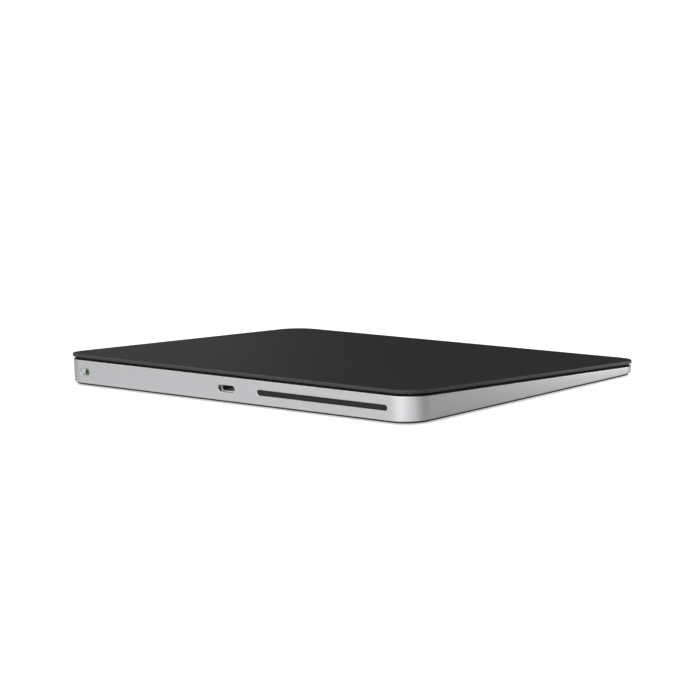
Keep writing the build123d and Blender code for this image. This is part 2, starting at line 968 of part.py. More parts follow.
def make_antenna_element():
    """Thin radiator behind the window, with a tail that lies on the logic board."""
    start = rear_face - wall_thickness - window_flange_thickness
    radiator = rear_block(
        window_x(), start, window_length - 2 * antenna_inset, window_height, antenna_thickness
    )
    board_top = board_levels()[1]
    tail_x = antenna_tail_x()
    tail = block_between(
        tail_x - antenna_tail_width / 2,
        tail_x + antenna_tail_width / 2,
        start - antenna_tail_length,
        start,
        board_top,
        board_top + antenna_thickness,
    )
    riser = block_between(
        tail_x - antenna_tail_width / 2,
        tail_x + antenna_tail_width / 2,
        start - antenna_thickness,
        start,
        board_top,
        rear_centre,
    )
    return radiator + tail + riser


# Charging port

def port_shell_size():
    """Width and height of the shell's cavity."""
    return port_width - 2 * port_step, port_height - 2 * port_step


def make_port_shell():
    inner_width, inner_height = port_shell_size()
    start = rear_face - wall_thickness
    outer = rear_slot(
        0, start, inner_width + 2 * port_shell_wall, inner_height + 2 * port_shell_wall, port_depth
    )
    cavity = rear_slot(0, start + overrun, inner_width, inner_height, port_depth + 2 * overrun)
    return outer - cavity


def make_port_insulator():
    """Moulded plug in the back of the shell, with a thin floor for the contacts."""
    inner_width, inner_height = port_shell_size()
    start = rear_face - wall_thickness
    back = rear_slot(
        0,
        start - port_socket_depth,
        inner_width - 2 * port_fit,
        inner_height - 2 * port_fit,
        port_depth - port_socket_depth,
    )
    body = rear_block(
        0,
        start - port_depth,
        inner_width + 2 * port_shell_wall,
        inner_height,
        port_body_length,
    )
    floor_rise = -inner_height / 2 + port_fit + tongue_thickness / 2
    floor = rear_block(
        0,
        start - port_socket_depth + contact_length,
        contact_count * contact_pitch - contact_thickness,
        tongue_thickness,
        contact_length,
        floor_rise,
    )
    return back + body + floor


def make_port_contacts():
    inner_height = port_shell_size()[1]
    start = rear_face - wall_thickness
    rise = -inner_height / 2 + port_fit + tongue_thickness + contact_thickness / 2
    contacts = []
    for number in range(contact_count):
        x = (number - (contact_count - 1) / 2) * contact_pitch
        contacts.append(
            rear_block(
                x, start - port_socket_depth + contact_length,
                contact_width, contact_thickness, contact_length, rise,
            )
        )
    return Compound(children=contacts)


def saddle_sizes():
    """Half width of the saddle's platform, its top, and its front and rear edge."""
    inner_width, inner_height = port_shell_size()
    half = inner_width / 2 + port_shell_wall + saddle_overhang
    top = rear_centre - inner_height / 2 - port_shell_wall
    rear = rear_face - wall_thickness - (port_depth - saddle_length) / 2
    return half, top, rear - saddle_length, rear


def saddle_foot_places():
    half, top, front, rear = saddle_sizes()
    return [(s * (half + saddle_foot / 2), (front + rear) / 2) for s in (-1, 1)]


def make_port_bracket():
    """Saddle of bent sheet that carries the port's shell above the chassis."""
    half, top, front, rear = saddle_sizes()
    bracket = block_between(-half, half, front, rear, top - saddle_sheet, top)
    for side in (-1, 1):
        leg = side * (half - saddle_sheet / 2)
        bracket += block_between(
            leg - saddle_sheet / 2, leg + saddle_sheet / 2, front, rear, chassis_top, top
        )
        near, far = sorted((side * half, side * (half + saddle_foot)))
        bracket += block_between(near, far, front, rear, chassis_top, chassis_top + saddle_sheet)
    for x, y in saddle_foot_places():
        bracket -= down_hole(
            x, y, chassis_top + saddle_sheet, saddle_sheet + overrun, screw_clearance
        )
    return bracket


def make_port_screws():
    seat = chassis_top + saddle_sheet
    reach = saddle_sheet + chassis_thickness
    return Compound(children=[down_screw(x, y, seat, reach) for x, y in saddle_foot_places()])


def make_port_flex():
    """Ribbon on the logic board that ends under the port's moulded body."""
    top = board_levels()[1]
    start = rear_face - wall_thickness - port_depth
    low = board_edges()[2] - port_flex_overlap
    high = port_shell_size()[0] / 2
    return block_between(
        low, high, start - port_body_length, start,
        top, top + flex_thickness,
    )


# Power switch

def face_start():
    """Y of the outer side of the switch's face plate."""
    return rear_face - face_recess


def face_part(side):
    """One half of the plate behind the switch slot, with half of the stem's slit."""
    x = switch_slot_x()
    thickness = wall_thickness - face_recess
    slot = rear_slot(
        x,
        face_start(),
        switch_slot_length - 2 * face_clearance,
        switch_slot_height - 2 * face_clearance,
        thickness,
    )
    half = rear_block(
        x + side * switch_slot_length / 2, face_start() + overrun,
        switch_slot_length, switch_slot_height, thickness + 2 * overrun,
    )
    slit_length = knob_travel() + stem_width + 2 * knob_clearance
    slit = rear_block(
        x, face_start() + overrun, slit_length, stem_height + 2 * knob_clearance, thickness + 2 * overrun
    )
    return (slot & half) - slit


def knob_travel():
    return switch_slot_length - knob_length - 2 * knob_clearance


def knob_x():
    """The knob at rest lies at the slot's right end, where the switch is on."""
    return switch_slot_x() + knob_travel() / 2


def make_switch_knob():
    height = switch_slot_height - 2 * knob_clearance
    outer = rear_face - knob_recess
    cap = rear_slot(knob_x(), outer, knob_length, height, knob_thickness)
    inner = rear_face - wall_thickness - knob_clearance
    stem = rear_block(knob_x(), outer, stem_width, stem_height, outer - inner)
    return cap + stem


def make_switch_carriage():
    start = rear_face - wall_thickness - knob_clearance
    return rear_block(knob_x(), start, carriage_length, carriage_height, carriage_depth)


def housing_size():
    length = knob_travel() + carriage_length + 2 * (knob_clearance + switch_housing_wall)
    return length, carriage_height + 2 * (knob_clearance + switch_housing_wall)


def make_switch_housing():
    length, height = housing_size()
    start = rear_face - wall_thickness - switch_housing_gap
    block = rear_block(switch_slot_x(), start, length, height, switch_housing_depth)
    cavity = rear_block(
        switch_slot_x(),
        start + overrun,
        length - 2 * switch_housing_wall,
        height - 2 * switch_housing_wall,
        carriage_depth + 2 * knob_clearance + switch_contact_thickness + overrun,
    )
    return block - cavity


def make_switch_contacts():
    """Three pads on the floor of the housing, which the carriage passes."""
    start = rear_face - wall_thickness - switch_housing_gap - carriage_depth - 2 * knob_clearance
    reach = housing_size()[0] / 2 - switch_housing_wall - switch_contact_size
    pads = []
    for step in (-1, 0, 1):
        x = switch_slot_x() + step * reach
        pads.append(
            rear_block(
                x, start, switch_contact_size, switch_contact_size, switch_contact_thickness
            )
        )
    return Compound(children=pads)


def switch_bracket_edges():
    """Y of the upright's rear face, and the front edge of its foot."""
    rear = rear_face - wall_thickness - switch_housing_gap - switch_housing_depth
    return rear, rear - switch_bracket_sheet - switch_bracket_foot


def switch_bracket_screw():
    rear, front = switch_bracket_edges()
    return switch_slot_x(), front + switch_bracket_foot / 2


def make_switch_bracket():
    """Bent sheet that holds the housing against the rear wall."""
    length, height = housing_size()
    x = switch_slot_x()
    rear, front = switch_bracket_edges()
    upright_top = surface_height(flexure_y, ledge_top + ledge_thickness) - switch_bracket_sheet
    upright = block_between(
        x - length / 2, x + length / 2, rear - switch_bracket_sheet, rear, chassis_top, upright_top
    )
    foot = block_between(
        x - length / 2, x + length / 2, front, rear, chassis_top, chassis_top + switch_bracket_sheet
    )
    sx, sy = switch_bracket_screw()
    hole = down_hole(
        sx, sy, chassis_top + switch_bracket_sheet, switch_bracket_sheet + overrun, screw_clearance
    )
    return upright + foot - hole


def make_switch_bracket_screw():
    x, y = switch_bracket_screw()
    seat = chassis_top + switch_bracket_sheet
    return down_screw(x, y, seat, switch_bracket_sheet + chassis_thickness)


# Board beside the battery

def side_board_edges():
    low = cell_edges()[1] + side_board_gap
    front = cell_edges()[2]
    return low, low + side_board_width, front, flexure_y - ledge_depth / 2 - board_ledge_gap


def make_side_board():
    low, high, front, rear = side_board_edges()
    bottom = chassis_top + side_board_post_height
    return block_between(low, high, front, rear, bottom, bottom + side_board_thickness)


def make_side_board_standoffs():
    low, high, front, rear = side_board_edges()
    middle = (low + high) / 2
    pads = []
    for y in (front + board_post_inset, rear - board_post_inset):
        outline = small_round(board_post_radius, middle, y)
        pads.append(plate(outline, chassis_top, chassis_top + side_board_post_height))
    return Compound(children=pads)


def make_side_board_parts():
    low, high, front, rear = side_board_edges()
    top = chassis_top + side_board_post_height + side_board_thickness
    middle = (low + high) / 2
    chip = plate(
        Pos(middle, front + side_chip_share * (rear - front)) * Rectangle(chip_size, chip_size),
        top,
        top + chip_height,
    )
    socket_y = front + side_socket_share * (rear - front)
    socket = plate(
        Pos(middle, socket_y) * Rectangle(connector_length, connector_width),
        top,
        top + connector_height,
    )
    return Compound(children=[chip, socket])


def make_switch_flex():
    """Ribbon on the chassis in front of the battery, between the two boards."""
    low, high, front, rear = side_board_edges()
    rear_edge = front - switch_flex_gap
    return block_between(
        board_edges()[2] - switch_flex_overlap, low + switch_flex_overlap,
        rear_edge - switch_flex_width, rear_edge,
        chassis_top, chassis_top + flex_thickness,
    )


def all_parts():
    """Every piece by its name."""
    parts = {
        "enclosure_frame": make_enclosure_frame(),
        "perimeter_seal": make_perimeter_seal(),
        "bottom_cover": make_bottom_cover(),
        "cover_adhesive": make_cover_adhesive(),
        "chassis_plate": make_chassis_plate(),
        "chassis_screws": make_chassis_screws(),
        "glass_top": make_glass_top(),
        "sensor_board": make_sensor_board(),
        "stiffener_plate": make_stiffener_plate(),
        "flexure_screws": make_flexure_screws(),
        "sensor_connector": make_sensor_connector(),
        "sensor_flex": make_sensor_flex(),
        "actuator_core": make_actuator_core(),
        "actuator_coil": make_actuator_coil(),
        "actuator_bracket": make_actuator_bracket(),
        "actuator_screws": make_actuator_screws(),
        "pull_plate": make_pull_plate(),
        "battery_cell_left": make_battery_cell(-1),
        "battery_cell_right": make_battery_cell(1),
        "battery_tapes": make_cell_tapes(),
        "battery_board": make_protection_board(),
        "battery_lead": make_battery_lead(),
        "logic_board": make_logic_board(),
        "board_screws": make_board_screws(),
        "shield_can_left": make_shield_can(*front_can_shares[0]),
        "shield_can_right": make_shield_can(*front_can_shares[1]),
        "shield_can_rear": make_rear_shield_can(),
        "board_chips": make_board_chips(),
        "board_connectors": make_board_connectors(),
        "antenna_window": make_antenna_window(),
        "antenna_element": make_antenna_element(),
        "port_shell": make_port_shell(),
        "port_insulator": make_port_insulator(),
        "port_contacts": make_port_contacts(),
        "port_bracket": make_port_bracket(),
        "port_screws": make_port_screws(),
        "port_flex": make_port_flex(),
        "power_indicator": face_part(-1),
        "switch_face": face_part(1),
        "switch_knob": make_switch_knob(),
        "switch_carriage": make_switch_carriage(),
        "switch_housing": make_switch_housing(),
        "switch_contacts": make_switch_contacts(),
        "switch_bracket": make_switch_bracket(),
        "switch_bracket_screw": make_switch_bracket_screw(),
        "side_board": make_side_board(),
        "side_board_standoffs": make_side_board_standoffs(),
        "side_board_parts": make_side_board_parts(),
        "switch_flex": make_switch_flex(),
    }
    for corner, (side, end) in corners.items():
        parts[f"foot_{corner}"] = make_foot(side, end)
        parts[f"force_flexure_{corner}"] = make_force_flexure(side, end)
    places = corners.values()
    parts["gel_pads"] = Compound(children=[make_gel_pad(*place) for place in places])
    parts["strain_gauges"] = Compound(children=[make_strain_gauge(*place) for place in places])
    return parts


os.makedirs("parts", exist_ok=True)
for name, shape in all_parts().items():
    export_step(shape, f"parts/{name}.step")
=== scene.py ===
"""Looks of a wedge-shaped desk trackpad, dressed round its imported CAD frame.

X runs across the width, +Y points to the thick rear edge that holds the port,
and Z is up. Blender's unit is the metre, so every size is a number of mm.
"""

import json
from math import atan, cos, hypot, pi, radians, sin

import bmesh
import bpy
from mathutils import Matrix, Vector


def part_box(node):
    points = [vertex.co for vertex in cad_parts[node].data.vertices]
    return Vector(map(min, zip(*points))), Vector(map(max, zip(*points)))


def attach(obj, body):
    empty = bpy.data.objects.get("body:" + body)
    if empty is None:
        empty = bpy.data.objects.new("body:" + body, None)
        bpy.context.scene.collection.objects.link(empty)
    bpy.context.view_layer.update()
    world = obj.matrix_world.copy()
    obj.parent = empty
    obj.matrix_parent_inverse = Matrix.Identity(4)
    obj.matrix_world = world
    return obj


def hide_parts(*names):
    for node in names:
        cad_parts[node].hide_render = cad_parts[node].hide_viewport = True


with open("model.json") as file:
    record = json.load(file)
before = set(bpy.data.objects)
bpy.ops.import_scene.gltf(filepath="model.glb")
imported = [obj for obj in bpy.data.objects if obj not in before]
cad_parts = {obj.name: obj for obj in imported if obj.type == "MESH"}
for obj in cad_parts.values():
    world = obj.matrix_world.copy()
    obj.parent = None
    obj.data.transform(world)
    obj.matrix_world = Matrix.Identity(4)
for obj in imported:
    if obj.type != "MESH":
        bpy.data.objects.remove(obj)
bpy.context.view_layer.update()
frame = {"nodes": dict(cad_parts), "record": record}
nodes = frame["nodes"]
node_slots = {row["node"]: row["material_slot"] for row in frame["record"]["subparts"]}

mm = 0.001
merge_distance = 0.0005 * mm
sharp_angle = radians(32)
large_face_weight = 100

# Overall shape, as in the CAD model
glass_low, glass_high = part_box("glass_top")
frame_low, frame_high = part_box("enclosure_frame")
rear_height = 10.9 * mm
front_height = 4.9 * mm
width = glass_high.x - glass_low.x
depth = glass_high.y - glass_low.y
slope = (rear_height - front_height) / depth
middle_height = (rear_height + front_height) / 2
corner_radius = 8.8 * mm
corner_steps = 28

# Glass
glass_thickness = 1.1 * mm
glass_edge_round = 0.3 * mm
glass_edge_chamfer = 0.15 * mm

# Frame and its openings
frame_inset = 0.25 * mm
wall_thickness = 1.8 * mm
rim_below = 1.97 * mm
frame_edge_round = 0.1 * mm
round_steps = 6
flat_normal_share = 0.97
overrun = 1.0 * mm
port_width = 7.65 * mm
port_height = 2.27 * mm
switch_slot_length = 4.6 * mm
switch_slot_height = 2.4 * mm
window_height = 1.85 * mm
window_near_end = 14.06 * mm
window_corner_gap = 1.34 * mm
opening_steps = 14
opening_chamfer = 0.06 * mm
port_chamfer = 0.08 * mm
lug_width = 6.0 * mm
lug_reach = 2.2 * mm
lug_thickness = 0.8 * mm
lug_hole_radius = 0.65 * mm
chassis_top = 1.75 * mm
ledge_below = 3.35 * mm
ledge_thickness = 1.4 * mm
ledge_depth = 10.0 * mm
ledge_inner_x = 66.25 * mm
ledge_y = 44.0 * mm
hole_steps = 24

# Window insert and its flange
window_joint = 0.03 * mm
window_edge_round = 0.08 * mm
window_flange = 0.9 * mm
window_flange_thickness = 1.0 * mm

# Knob of the power switch
knob_recess = 0.1 * mm
knob_thickness = 0.35 * mm
knob_edge_round = 0.14 * mm
groove_length = 1.3 * mm
groove_height = 0.5 * mm
groove_depth = 0.12 * mm
stem_length = 1.2 * mm
stem_height = 0.7 * mm
stem_overlap = 0.1 * mm
knob_clearance = 0.1 * mm

# Feet
foot_radius = 4.5 * mm
foot_edge_round = 0.22 * mm
foot_steps = 56
foot_rib_radii = (2.4 * mm, 3.2 * mm)
foot_rib_depth = 0.03 * mm
foot_rib_width = 0.12 * mm
foot_names = ("foot_front_left", "foot_front_right", "foot_rear_left", "foot_rear_right")

# Camera, as fitted to the photograph
camera_azimuth = radians(223.511)
camera_elevation = radians(8.479)
camera_roll = radians(-2.254)
camera_distance = 857.6 * mm
camera_target = Vector((-0.15 * mm, -1.0 * mm, 9.77 * mm))
camera_lens = 130.96
camera_sensor = 36.0
camera_near = 10 * mm
camera_far = 100.0


def surface_height(y, below=0.0):
    """Height, at y, of the plane that lies a distance below the top of the glass."""
    return middle_height + y * slope - below * hypot(1, slope)


rear_face = frame_high.y
frame_corner = corner_radius - frame_inset
rear_centre = (frame_low.z + surface_height(rear_face, rim_below)) / 2
window_far_end = frame_high.x - frame_corner - window_corner_gap
window_length = window_far_end - window_near_end
window_x = -(window_near_end + window_far_end) / 2
switch_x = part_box("switch_face")[0].x


# Meshes

def rounded_outline(half_x, half_y, radius, steps=corner_steps):
    """Corner by corner points of a rounded rectangle, anticlockwise."""
    points = []
    for quarter, (side, end) in enumerate(((1, 1), (-1, 1), (-1, -1), (1, -1))):
        centre_x = side * (half_x - radius)
        centre_y = end * (half_y - radius)
        for step in range(steps + 1):
            angle = pi / 2 * (quarter + step / steps)
            points.append((centre_x + radius * cos(angle), centre_y + radius * sin(angle)))
    return points


def frame_outline(inset):
    """The frame's outline, drawn in from its outer face."""
    return rounded_outline(frame_high.x - inset, frame_high.y - inset, frame_corner - inset)


def slot_outline(length, height, growth=0.0):
    """Slot with round ends, in the plane of the rear wall."""
    half_height = height / 2 + growth
    return rounded_outline(length / 2 + growth, half_height, half_height, opening_steps)


def ring(x, y, z, radius, steps):
    """Level circle of points round x and y."""
    turns = [2 * pi * step / steps for step in range(steps)]
    return [(x + radius * cos(turn), y + radius * sin(turn), z) for turn in turns]


def mesh_object(name, build):
    """New object at the origin whose mesh the build function fills."""
    mesh = bpy.data.meshes.new(name)
    bm = bmesh.new()
    build(bm)
    bmesh.ops.remove_doubles(bm, verts=bm.verts, dist=merge_distance)
    bmesh.ops.recalc_face_normals(bm, faces=bm.faces)
    bm.to_mesh(mesh)
    bm.free()
    piece = bpy.data.objects.new(name, mesh)
    bpy.context.scene.collection.objects.link(piece)
    return piece


def add_loops(bm, loops, closed=False):
    """Skin over a row of equal loops: a solid with end caps, or a closed ring."""
    rows = [[bm.verts.new(point) for point in loop] for loop in loops]
    count = len(rows[0])
    pairs = list(zip(rows, rows[1:]))
    if closed:
        pairs.append((rows[-1], rows[0]))
    for low, high in pairs:
        for here in range(count):
            there = (here + 1) % count
            bm.faces.new((low[here], low[there], high[there], high[here]))
    if not closed:
        bm.faces.new(list(reversed(rows[0])))
        bm.faces.new(rows[-1])


def loft(name, loops, closed=False):
    """Object whose mesh is skinned over a row of loops."""
    return mesh_object(name, lambda bm: add_loops(bm, loops, closed))


def apply_modifiers(piece):
    """Turn the piece with its modifiers into a plain mesh."""
    bpy.context.view_layer.update()
    graph = bpy.context.evaluated_depsgraph_get()
    mesh = bpy.data.meshes.new_from_object(piece.evaluated_get(graph))
    piece.modifiers.clear()
    piece.data = mesh


def smooth(piece):
    """Shade smooth between sharp edges, so that large flat faces stay flat."""
    piece.data.shade_smooth()
    piece.data.set_sharp_from_angle(angle=sharp_angle)
    modifier = piece.modifiers.new("flat_faces", "WEIGHTED_NORMAL")
    modifier.mode = "FACE_AREA"
    modifier.weight = large_face_weight
    modifier.keep_sharp = True
    apply_modifiers(piece)


def boolean(piece, tool, operation):
    """Join or cut a piece with another, which is used up."""
    modifier = piece.modifiers.new(operation, "BOOLEAN")
    modifier.operation = operation
    modifier.solver = "EXACT"
    modifier.object = tool
    apply_modifiers(piece)
    bpy.data.objects.remove(tool)


def rear_loop(points, x, y):
    """Loop in an upright plane at y, centred over x at the openings' height."""
    return [(x + px, y, rear_centre + pz) for px, pz in points]


def loose_boxes(node_name):
    """Lowest and highest corner of every separate solid of a node."""
    bm = bmesh.new()
    bm.from_mesh(nodes[node_name].data)
    bmesh.ops.remove_doubles(bm, verts=bm.verts, dist=merge_distance)
    waiting = set(bm.verts)
    boxes = []
    while waiting:
        front = [waiting.pop()]
        points = []
        while front:
            vertex = front.pop()
            points.append(vertex.co.copy())
            for edge in vertex.link_edges:
                other = edge.other_vert(vertex)
                if other in waiting:
                    waiting.remove(other)
                    front.append(other)
        low = Vector([min(point[axis] for point in points) for axis in range(3)])
        high = Vector([max(point[axis] for point in points) for axis in range(3)])
        boxes.append((low, high))
    bm.free()
    return sorted(boxes, key=lambda box: tuple(box[0]))


def finish_piece(piece, material, slot, body, *replaced):
    """Give a piece its material and body, and hide the CAD nodes that it stands for. The slot is
    not used.
    """
    piece.data.materials.clear()
    piece.data.materials.append(material)
    smooth(piece)
    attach(piece, body)
    if replaced:
        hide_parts(*replaced)
    return piece


# Materials

def new_material(name):
    """Material with an empty tree, its Principled shader and object coordinates."""
    material = bpy.data.materials.new(f"{name}_finish")
    material.use_nodes = True
    tree = material.node_tree
    tree.nodes.clear()
    output = tree.nodes.new("ShaderNodeOutputMaterial")
    shader = tree.nodes.new("ShaderNodeBsdfPrincipled")
    place = tree.nodes.new("ShaderNodeTexCoord")
    tree.links.new(shader.outputs["BSDF"], output.inputs["Surface"])
    return material, tree, shader, place.outputs["Object"]


def new_group(name, given, made):
    """Shader group with its named inputs and outputs, and its first and last node."""
    tree = bpy.data.node_groups.new(name, "ShaderNodeTree")
    for side, sockets in (("INPUT", given), ("OUTPUT", made)):
        for socket, kind in sockets.items():
            tree.interface.new_socket(socket, in_out=side, socket_type=f"NodeSocket{kind}")
    return tree, tree.nodes.new("NodeGroupInput"), tree.nodes.new("NodeGroupOutput")


def make_tone_group():
    """Colour that drifts between two tones over the surface."""
    tree, start, end = new_group(
        "tone_drift",
        {"Place": "Vector", "Scale": "Float", "First": "Color", "Second": "Color"},
        {"Color": "Color"},
    )
    noise = tree.nodes.new("ShaderNodeTexNoise")
    noise.inputs["Detail"].default_value = 4.0
    mix = tree.nodes.new("ShaderNodeMix")
    mix.data_type = "RGBA"
    link = tree.links.new
    link(start.outputs["Place"], noise.inputs["Vector"])
    link(start.outputs["Scale"], noise.inputs["Scale"])
    link(noise.outputs["Fac"], mix.inputs["Factor"])
    link(start.outputs["First"], mix.inputs["A"])
    link(start.outputs["Second"], mix.inputs["B"])
    link(mix.outputs["Result"], end.inputs["Color"])
    return tree


def make_grain_group():
    """Normal and roughness of a finely grained surface, which may be drawn out one way."""
    tree, start, end = new_group(
        "fine_grain",
        {
            "Place": "Vector", "Stretch": "Vector", "Grain scale": "Float",
            "Strength": "Float", "Height": "Float",
            "Smooth roughness": "Float", "Coarse roughness": "Float",
        },
        {"Normal": "Vector", "Roughness": "Float"},
    )
    noise = tree.nodes.new("ShaderNodeTexNoise")
    noise.inputs["Detail"].default_value = 2.0
    bump = tree.nodes.new("ShaderNodeBump")
    spread = tree.nodes.new("ShaderNodeMapRange")
    drawn = tree.nodes.new("ShaderNodeVectorMath")
    drawn.operation = "MULTIPLY"
    link = tree.links.new
    link(start.outputs["Place"], drawn.inputs[0])
    link(start.outputs["Stretch"], drawn.inputs[1])
    link(drawn.outputs[0], noise.inputs["Vector"])
    link(start.outputs["Grain scale"], noise.inputs["Scale"])
    link(noise.outputs["Fac"], bump.inputs["Height"])
    link(start.outputs["Strength"], bump.inputs["Strength"])
    link(start.outputs["Height"], bump.inputs["Distance"])
    link(noise.outputs["Fac"], spread.inputs["Value"])
    link(start.outputs["Smooth roughness"], spread.inputs["To Min"])
    link(start.outputs["Coarse roughness"], spread.inputs["To Max"])
    link(bump.outputs["Normal"], end.inputs["Normal"])
    link(spread.outputs["Result"], end.inputs["Roughness"])
    return tree


tone_drift = make_tone_group()
fine_grain = make_grain_group()


def use_group(tree, group, place, values):
    """Place a shared group in a material, with its own values."""
    node = tree.nodes.new("ShaderNodeGroup")
    node.node_tree = group
    tree.links.new(place, node.inputs["Place"])
    for name, value in values.items():
        node.inputs[name].default_value = value
    return node


def set_plain(shader, plain):
    """Values that are the same all over, straight on the shader's sockets."""
    for socket, value in plain.items():
        shader.inputs[socket.replace("_", " ")].default_value = value


def grained_material(
    name, tones, tone_scale, grain_scale, grain, roughness, stretch=(1, 1, 1), **plain
):
    """Surface with drifting colour and a fine grain. Plain values go on the shader."""
    material, tree, shader, place = new_material(name)
    tone = use_group(
        tree, tone_drift, place,
        {"Scale": tone_scale, "First": (*tones[0], 1), "Second": (*tones[1], 1)},
    )
    strength, height = grain
    texture = use_group(
        tree, fine_grain, place,
        {
            "Stretch": stretch, "Grain scale": grain_scale,
            "Strength": strength, "Height": height,
            "Smooth roughness": roughness[0], "Coarse roughness": roughness[1],
        },
    )
    tree.links.new(tone.outputs["Color"], shader.inputs["Base Color"])
    tree.links.new(texture.outputs["Normal"], shader.inputs["Normal"])
    tree.links.new(texture.outputs["Roughness"], shader.inputs["Roughness"])
    set_plain(shader, plain)
    return material


glass_coating = grained_material(
    "glass_coating", ((0.0125, 0.0128, 0.0142), (0.0155, 0.0158, 0.0172)), 30.0, 9000.0,
    (0.15, 0.01 * mm), (0.55, 0.62), IOR=1.18,
)
# Edge and underside of the glass: the same glass as the top, with a lighter base tone. The lighter
# tone is painted sheen that stands in for the edge's reflection of the bright surroundings.
glass_edge_painted_sheen = grained_material(
    "glass_edge_painted_sheen", ((0.045, 0.046, 0.048), (0.052, 0.053, 0.055)), 30.0, 9000.0,
    (0.05, 0.01 * mm), (0.42, 0.50), IOR=1.3,
)
blasted_aluminium = grained_material(
    "blasted_aluminium", ((0.57, 0.575, 0.585), (0.60, 0.605, 0.615)), 40.0, 7000.0,
    (0.25, 0.012 * mm), (0.36, 0.44), Metallic=1.0,
)
window_plastic = grained_material(
    "window_plastic", ((0.008, 0.008, 0.0085), (0.010, 0.010, 0.0105)), 60.0, 5000.0,
    (0.2, 0.01 * mm), (0.50, 0.62), IOR=1.3,
)
seal_rubber = grained_material(
    "seal_rubber", ((0.005, 0.005, 0.005), (0.008, 0.008, 0.008)), 200.0, 3000.0,
    (0.3, 0.02 * mm), (0.75, 0.9), IOR=1.25,
)
cover_plastic = grained_material(
    "cover_plastic", ((0.018, 0.018, 0.019), (0.022, 0.022, 0.023)), 40.0, 3500.0,
    (0.35, 0.02 * mm), (0.45, 0.62),
)
foot_rubber = grained_material(
    "foot_rubber", ((0.040, 0.040, 0.042), (0.055, 0.055, 0.058)), 200.0, 2500.0,
    (0.4, 0.02 * mm), (0.7, 0.9),
)
green_plastic = grained_material(
    "green_plastic", ((0.080, 0.130, 0.040), (0.100, 0.160, 0.052)), 400.0, 5000.0,
    (0.1, 0.01 * mm), (0.35, 0.5),
)
light_plastic = grained_material(
    "light_plastic", ((0.55, 0.55, 0.56), (0.62, 0.62, 0.63)), 200.0, 5000.0,
    (0.1, 0.01 * mm), (0.4, 0.5),
)
adhesive_film = grained_material(
    "adhesive_film", ((0.030, 0.030, 0.032), (0.050, 0.050, 0.054)), 250.0, 1500.0,
    (0.3, 0.02 * mm), (0.55, 0.8),
)
stamped_steel = grained_material(
    "stamped_steel", ((0.50, 0.50, 0.49), (0.60, 0.60, 0.585)), 60.0, 900.0,
    (0.2, 0.006 * mm), (0.26, 0.42), stretch=(0.08, 1, 1), Metallic=1.0,
)
spring_steel = grained_material(
    "spring_steel", ((0.58, 0.58, 0.575), (0.66, 0.655, 0.64)), 120.0, 1400.0,
    (0.2, 0.004 * mm), (0.20, 0.34), stretch=(0.05, 1, 1), Metallic=1.0,
)
soft_iron = grained_material(
    "soft_iron", ((0.26, 0.26, 0.265), (0.34, 0.335, 0.33)), 300.0, 700.0,
    (0.25, 0.01 * mm), (0.40, 0.60), stretch=(1, 1, 6), Metallic=1.0,
)
stiffener_aluminium = grained_material(
    "stiffener_aluminium", ((0.56, 0.57, 0.58), (0.63, 0.635, 0.64)), 50.0, 1100.0,
    (0.15, 0.006 * mm), (0.30, 0.44), stretch=(0.06, 1, 1), Metallic=1.0,
)
screw_steel = grained_material(
    "screw_steel", ((0.34, 0.34, 0.35), (0.46, 0.46, 0.465)), 900.0, 2500.0,
    (0.2, 0.005 * mm), (0.24, 0.38), Metallic=1.0,
)
enamelled_copper = grained_material(
    "enamelled_copper", ((0.62, 0.26, 0.10), (0.80, 0.40, 0.18)), 500.0, 2500.0,
    (0.1, 0.005 * mm), (0.18, 0.30), Metallic=1.0, Coat_Weight=0.5,
)
contact_gold = grained_material(
    "contact_gold", ((0.80, 0.57, 0.22), (0.88, 0.66, 0.28)), 900.0, 3000.0,
    (0.1, 0.004 * mm), (0.18, 0.28), stretch=(1, 0.1, 1), Metallic=1.0,
)
chip_epoxy = grained_material(
    "chip_epoxy", ((0.022, 0.022, 0.023), (0.038, 0.038, 0.039)), 700.0, 4000.0,
    (0.4, 0.01 * mm), (0.50, 0.70),
)
cell_foil = grained_material(
    "cell_foil", ((0.085, 0.087, 0.092), (0.14, 0.142, 0.148)), 25.0, 160.0,
    (0.35, 0.25 * mm), (0.28, 0.50), stretch=(0.6, 1, 1), Metallic=0.6,
)
soft_gel = grained_material(
    "soft_gel", ((0.50, 0.45, 0.35), (0.60, 0.55, 0.45)), 400.0, 900.0,
    (0.25, 0.03 * mm), (0.15, 0.30), Coat_Weight=0.4,
)


def make_lattice_group():
    """Fine lines in rows with round pads between them, as two masks."""
    tree, start, end = new_group(
        "line_lattice",
        {"Place": "Vector", "Pitch": "Vector", "Pad share": "Float"},
        {"Lines": "Float", "Pads": "Float"},
    )
    scaled = tree.nodes.new("ShaderNodeVectorMath")
    scaled.operation = "DIVIDE"
    rows = tree.nodes.new("ShaderNodeTexBrick")
    rows.offset = 0.37
    for socket, value in (
        ("Color1", (0, 0, 0, 1)), ("Color2", (0, 0, 0, 1)), ("Mortar", (1, 1, 1, 1)),
        ("Scale", 1.0), ("Mortar Size", 0.08), ("Mortar Smooth", 0.2),
        ("Brick Width", 5.0), ("Row Height", 1.0),
    ):
        rows.inputs[socket].default_value = value
    cells = tree.nodes.new("ShaderNodeTexVoronoi")
    cells.inputs["Scale"].default_value = 0.45
    cells.inputs["Randomness"].default_value = 0.7
    pads = tree.nodes.new("ShaderNodeMath")
    pads.operation = "LESS_THAN"
    link = tree.links.new
    link(start.outputs["Place"], scaled.inputs[0])
    link(start.outputs["Pitch"], scaled.inputs[1])
    link(scaled.outputs[0], rows.inputs["Vector"])
    link(scaled.outputs[0], cells.inputs["Vector"])
    link(cells.outputs["Distance"], pads.inputs[0])
    link(start.outputs["Pad share"], pads.inputs[1])
    link(rows.outputs["Color"], end.inputs["Lines"])
    link(pads.outputs[0], end.inputs["Pads"])
    return tree


line_lattice = make_lattice_group()


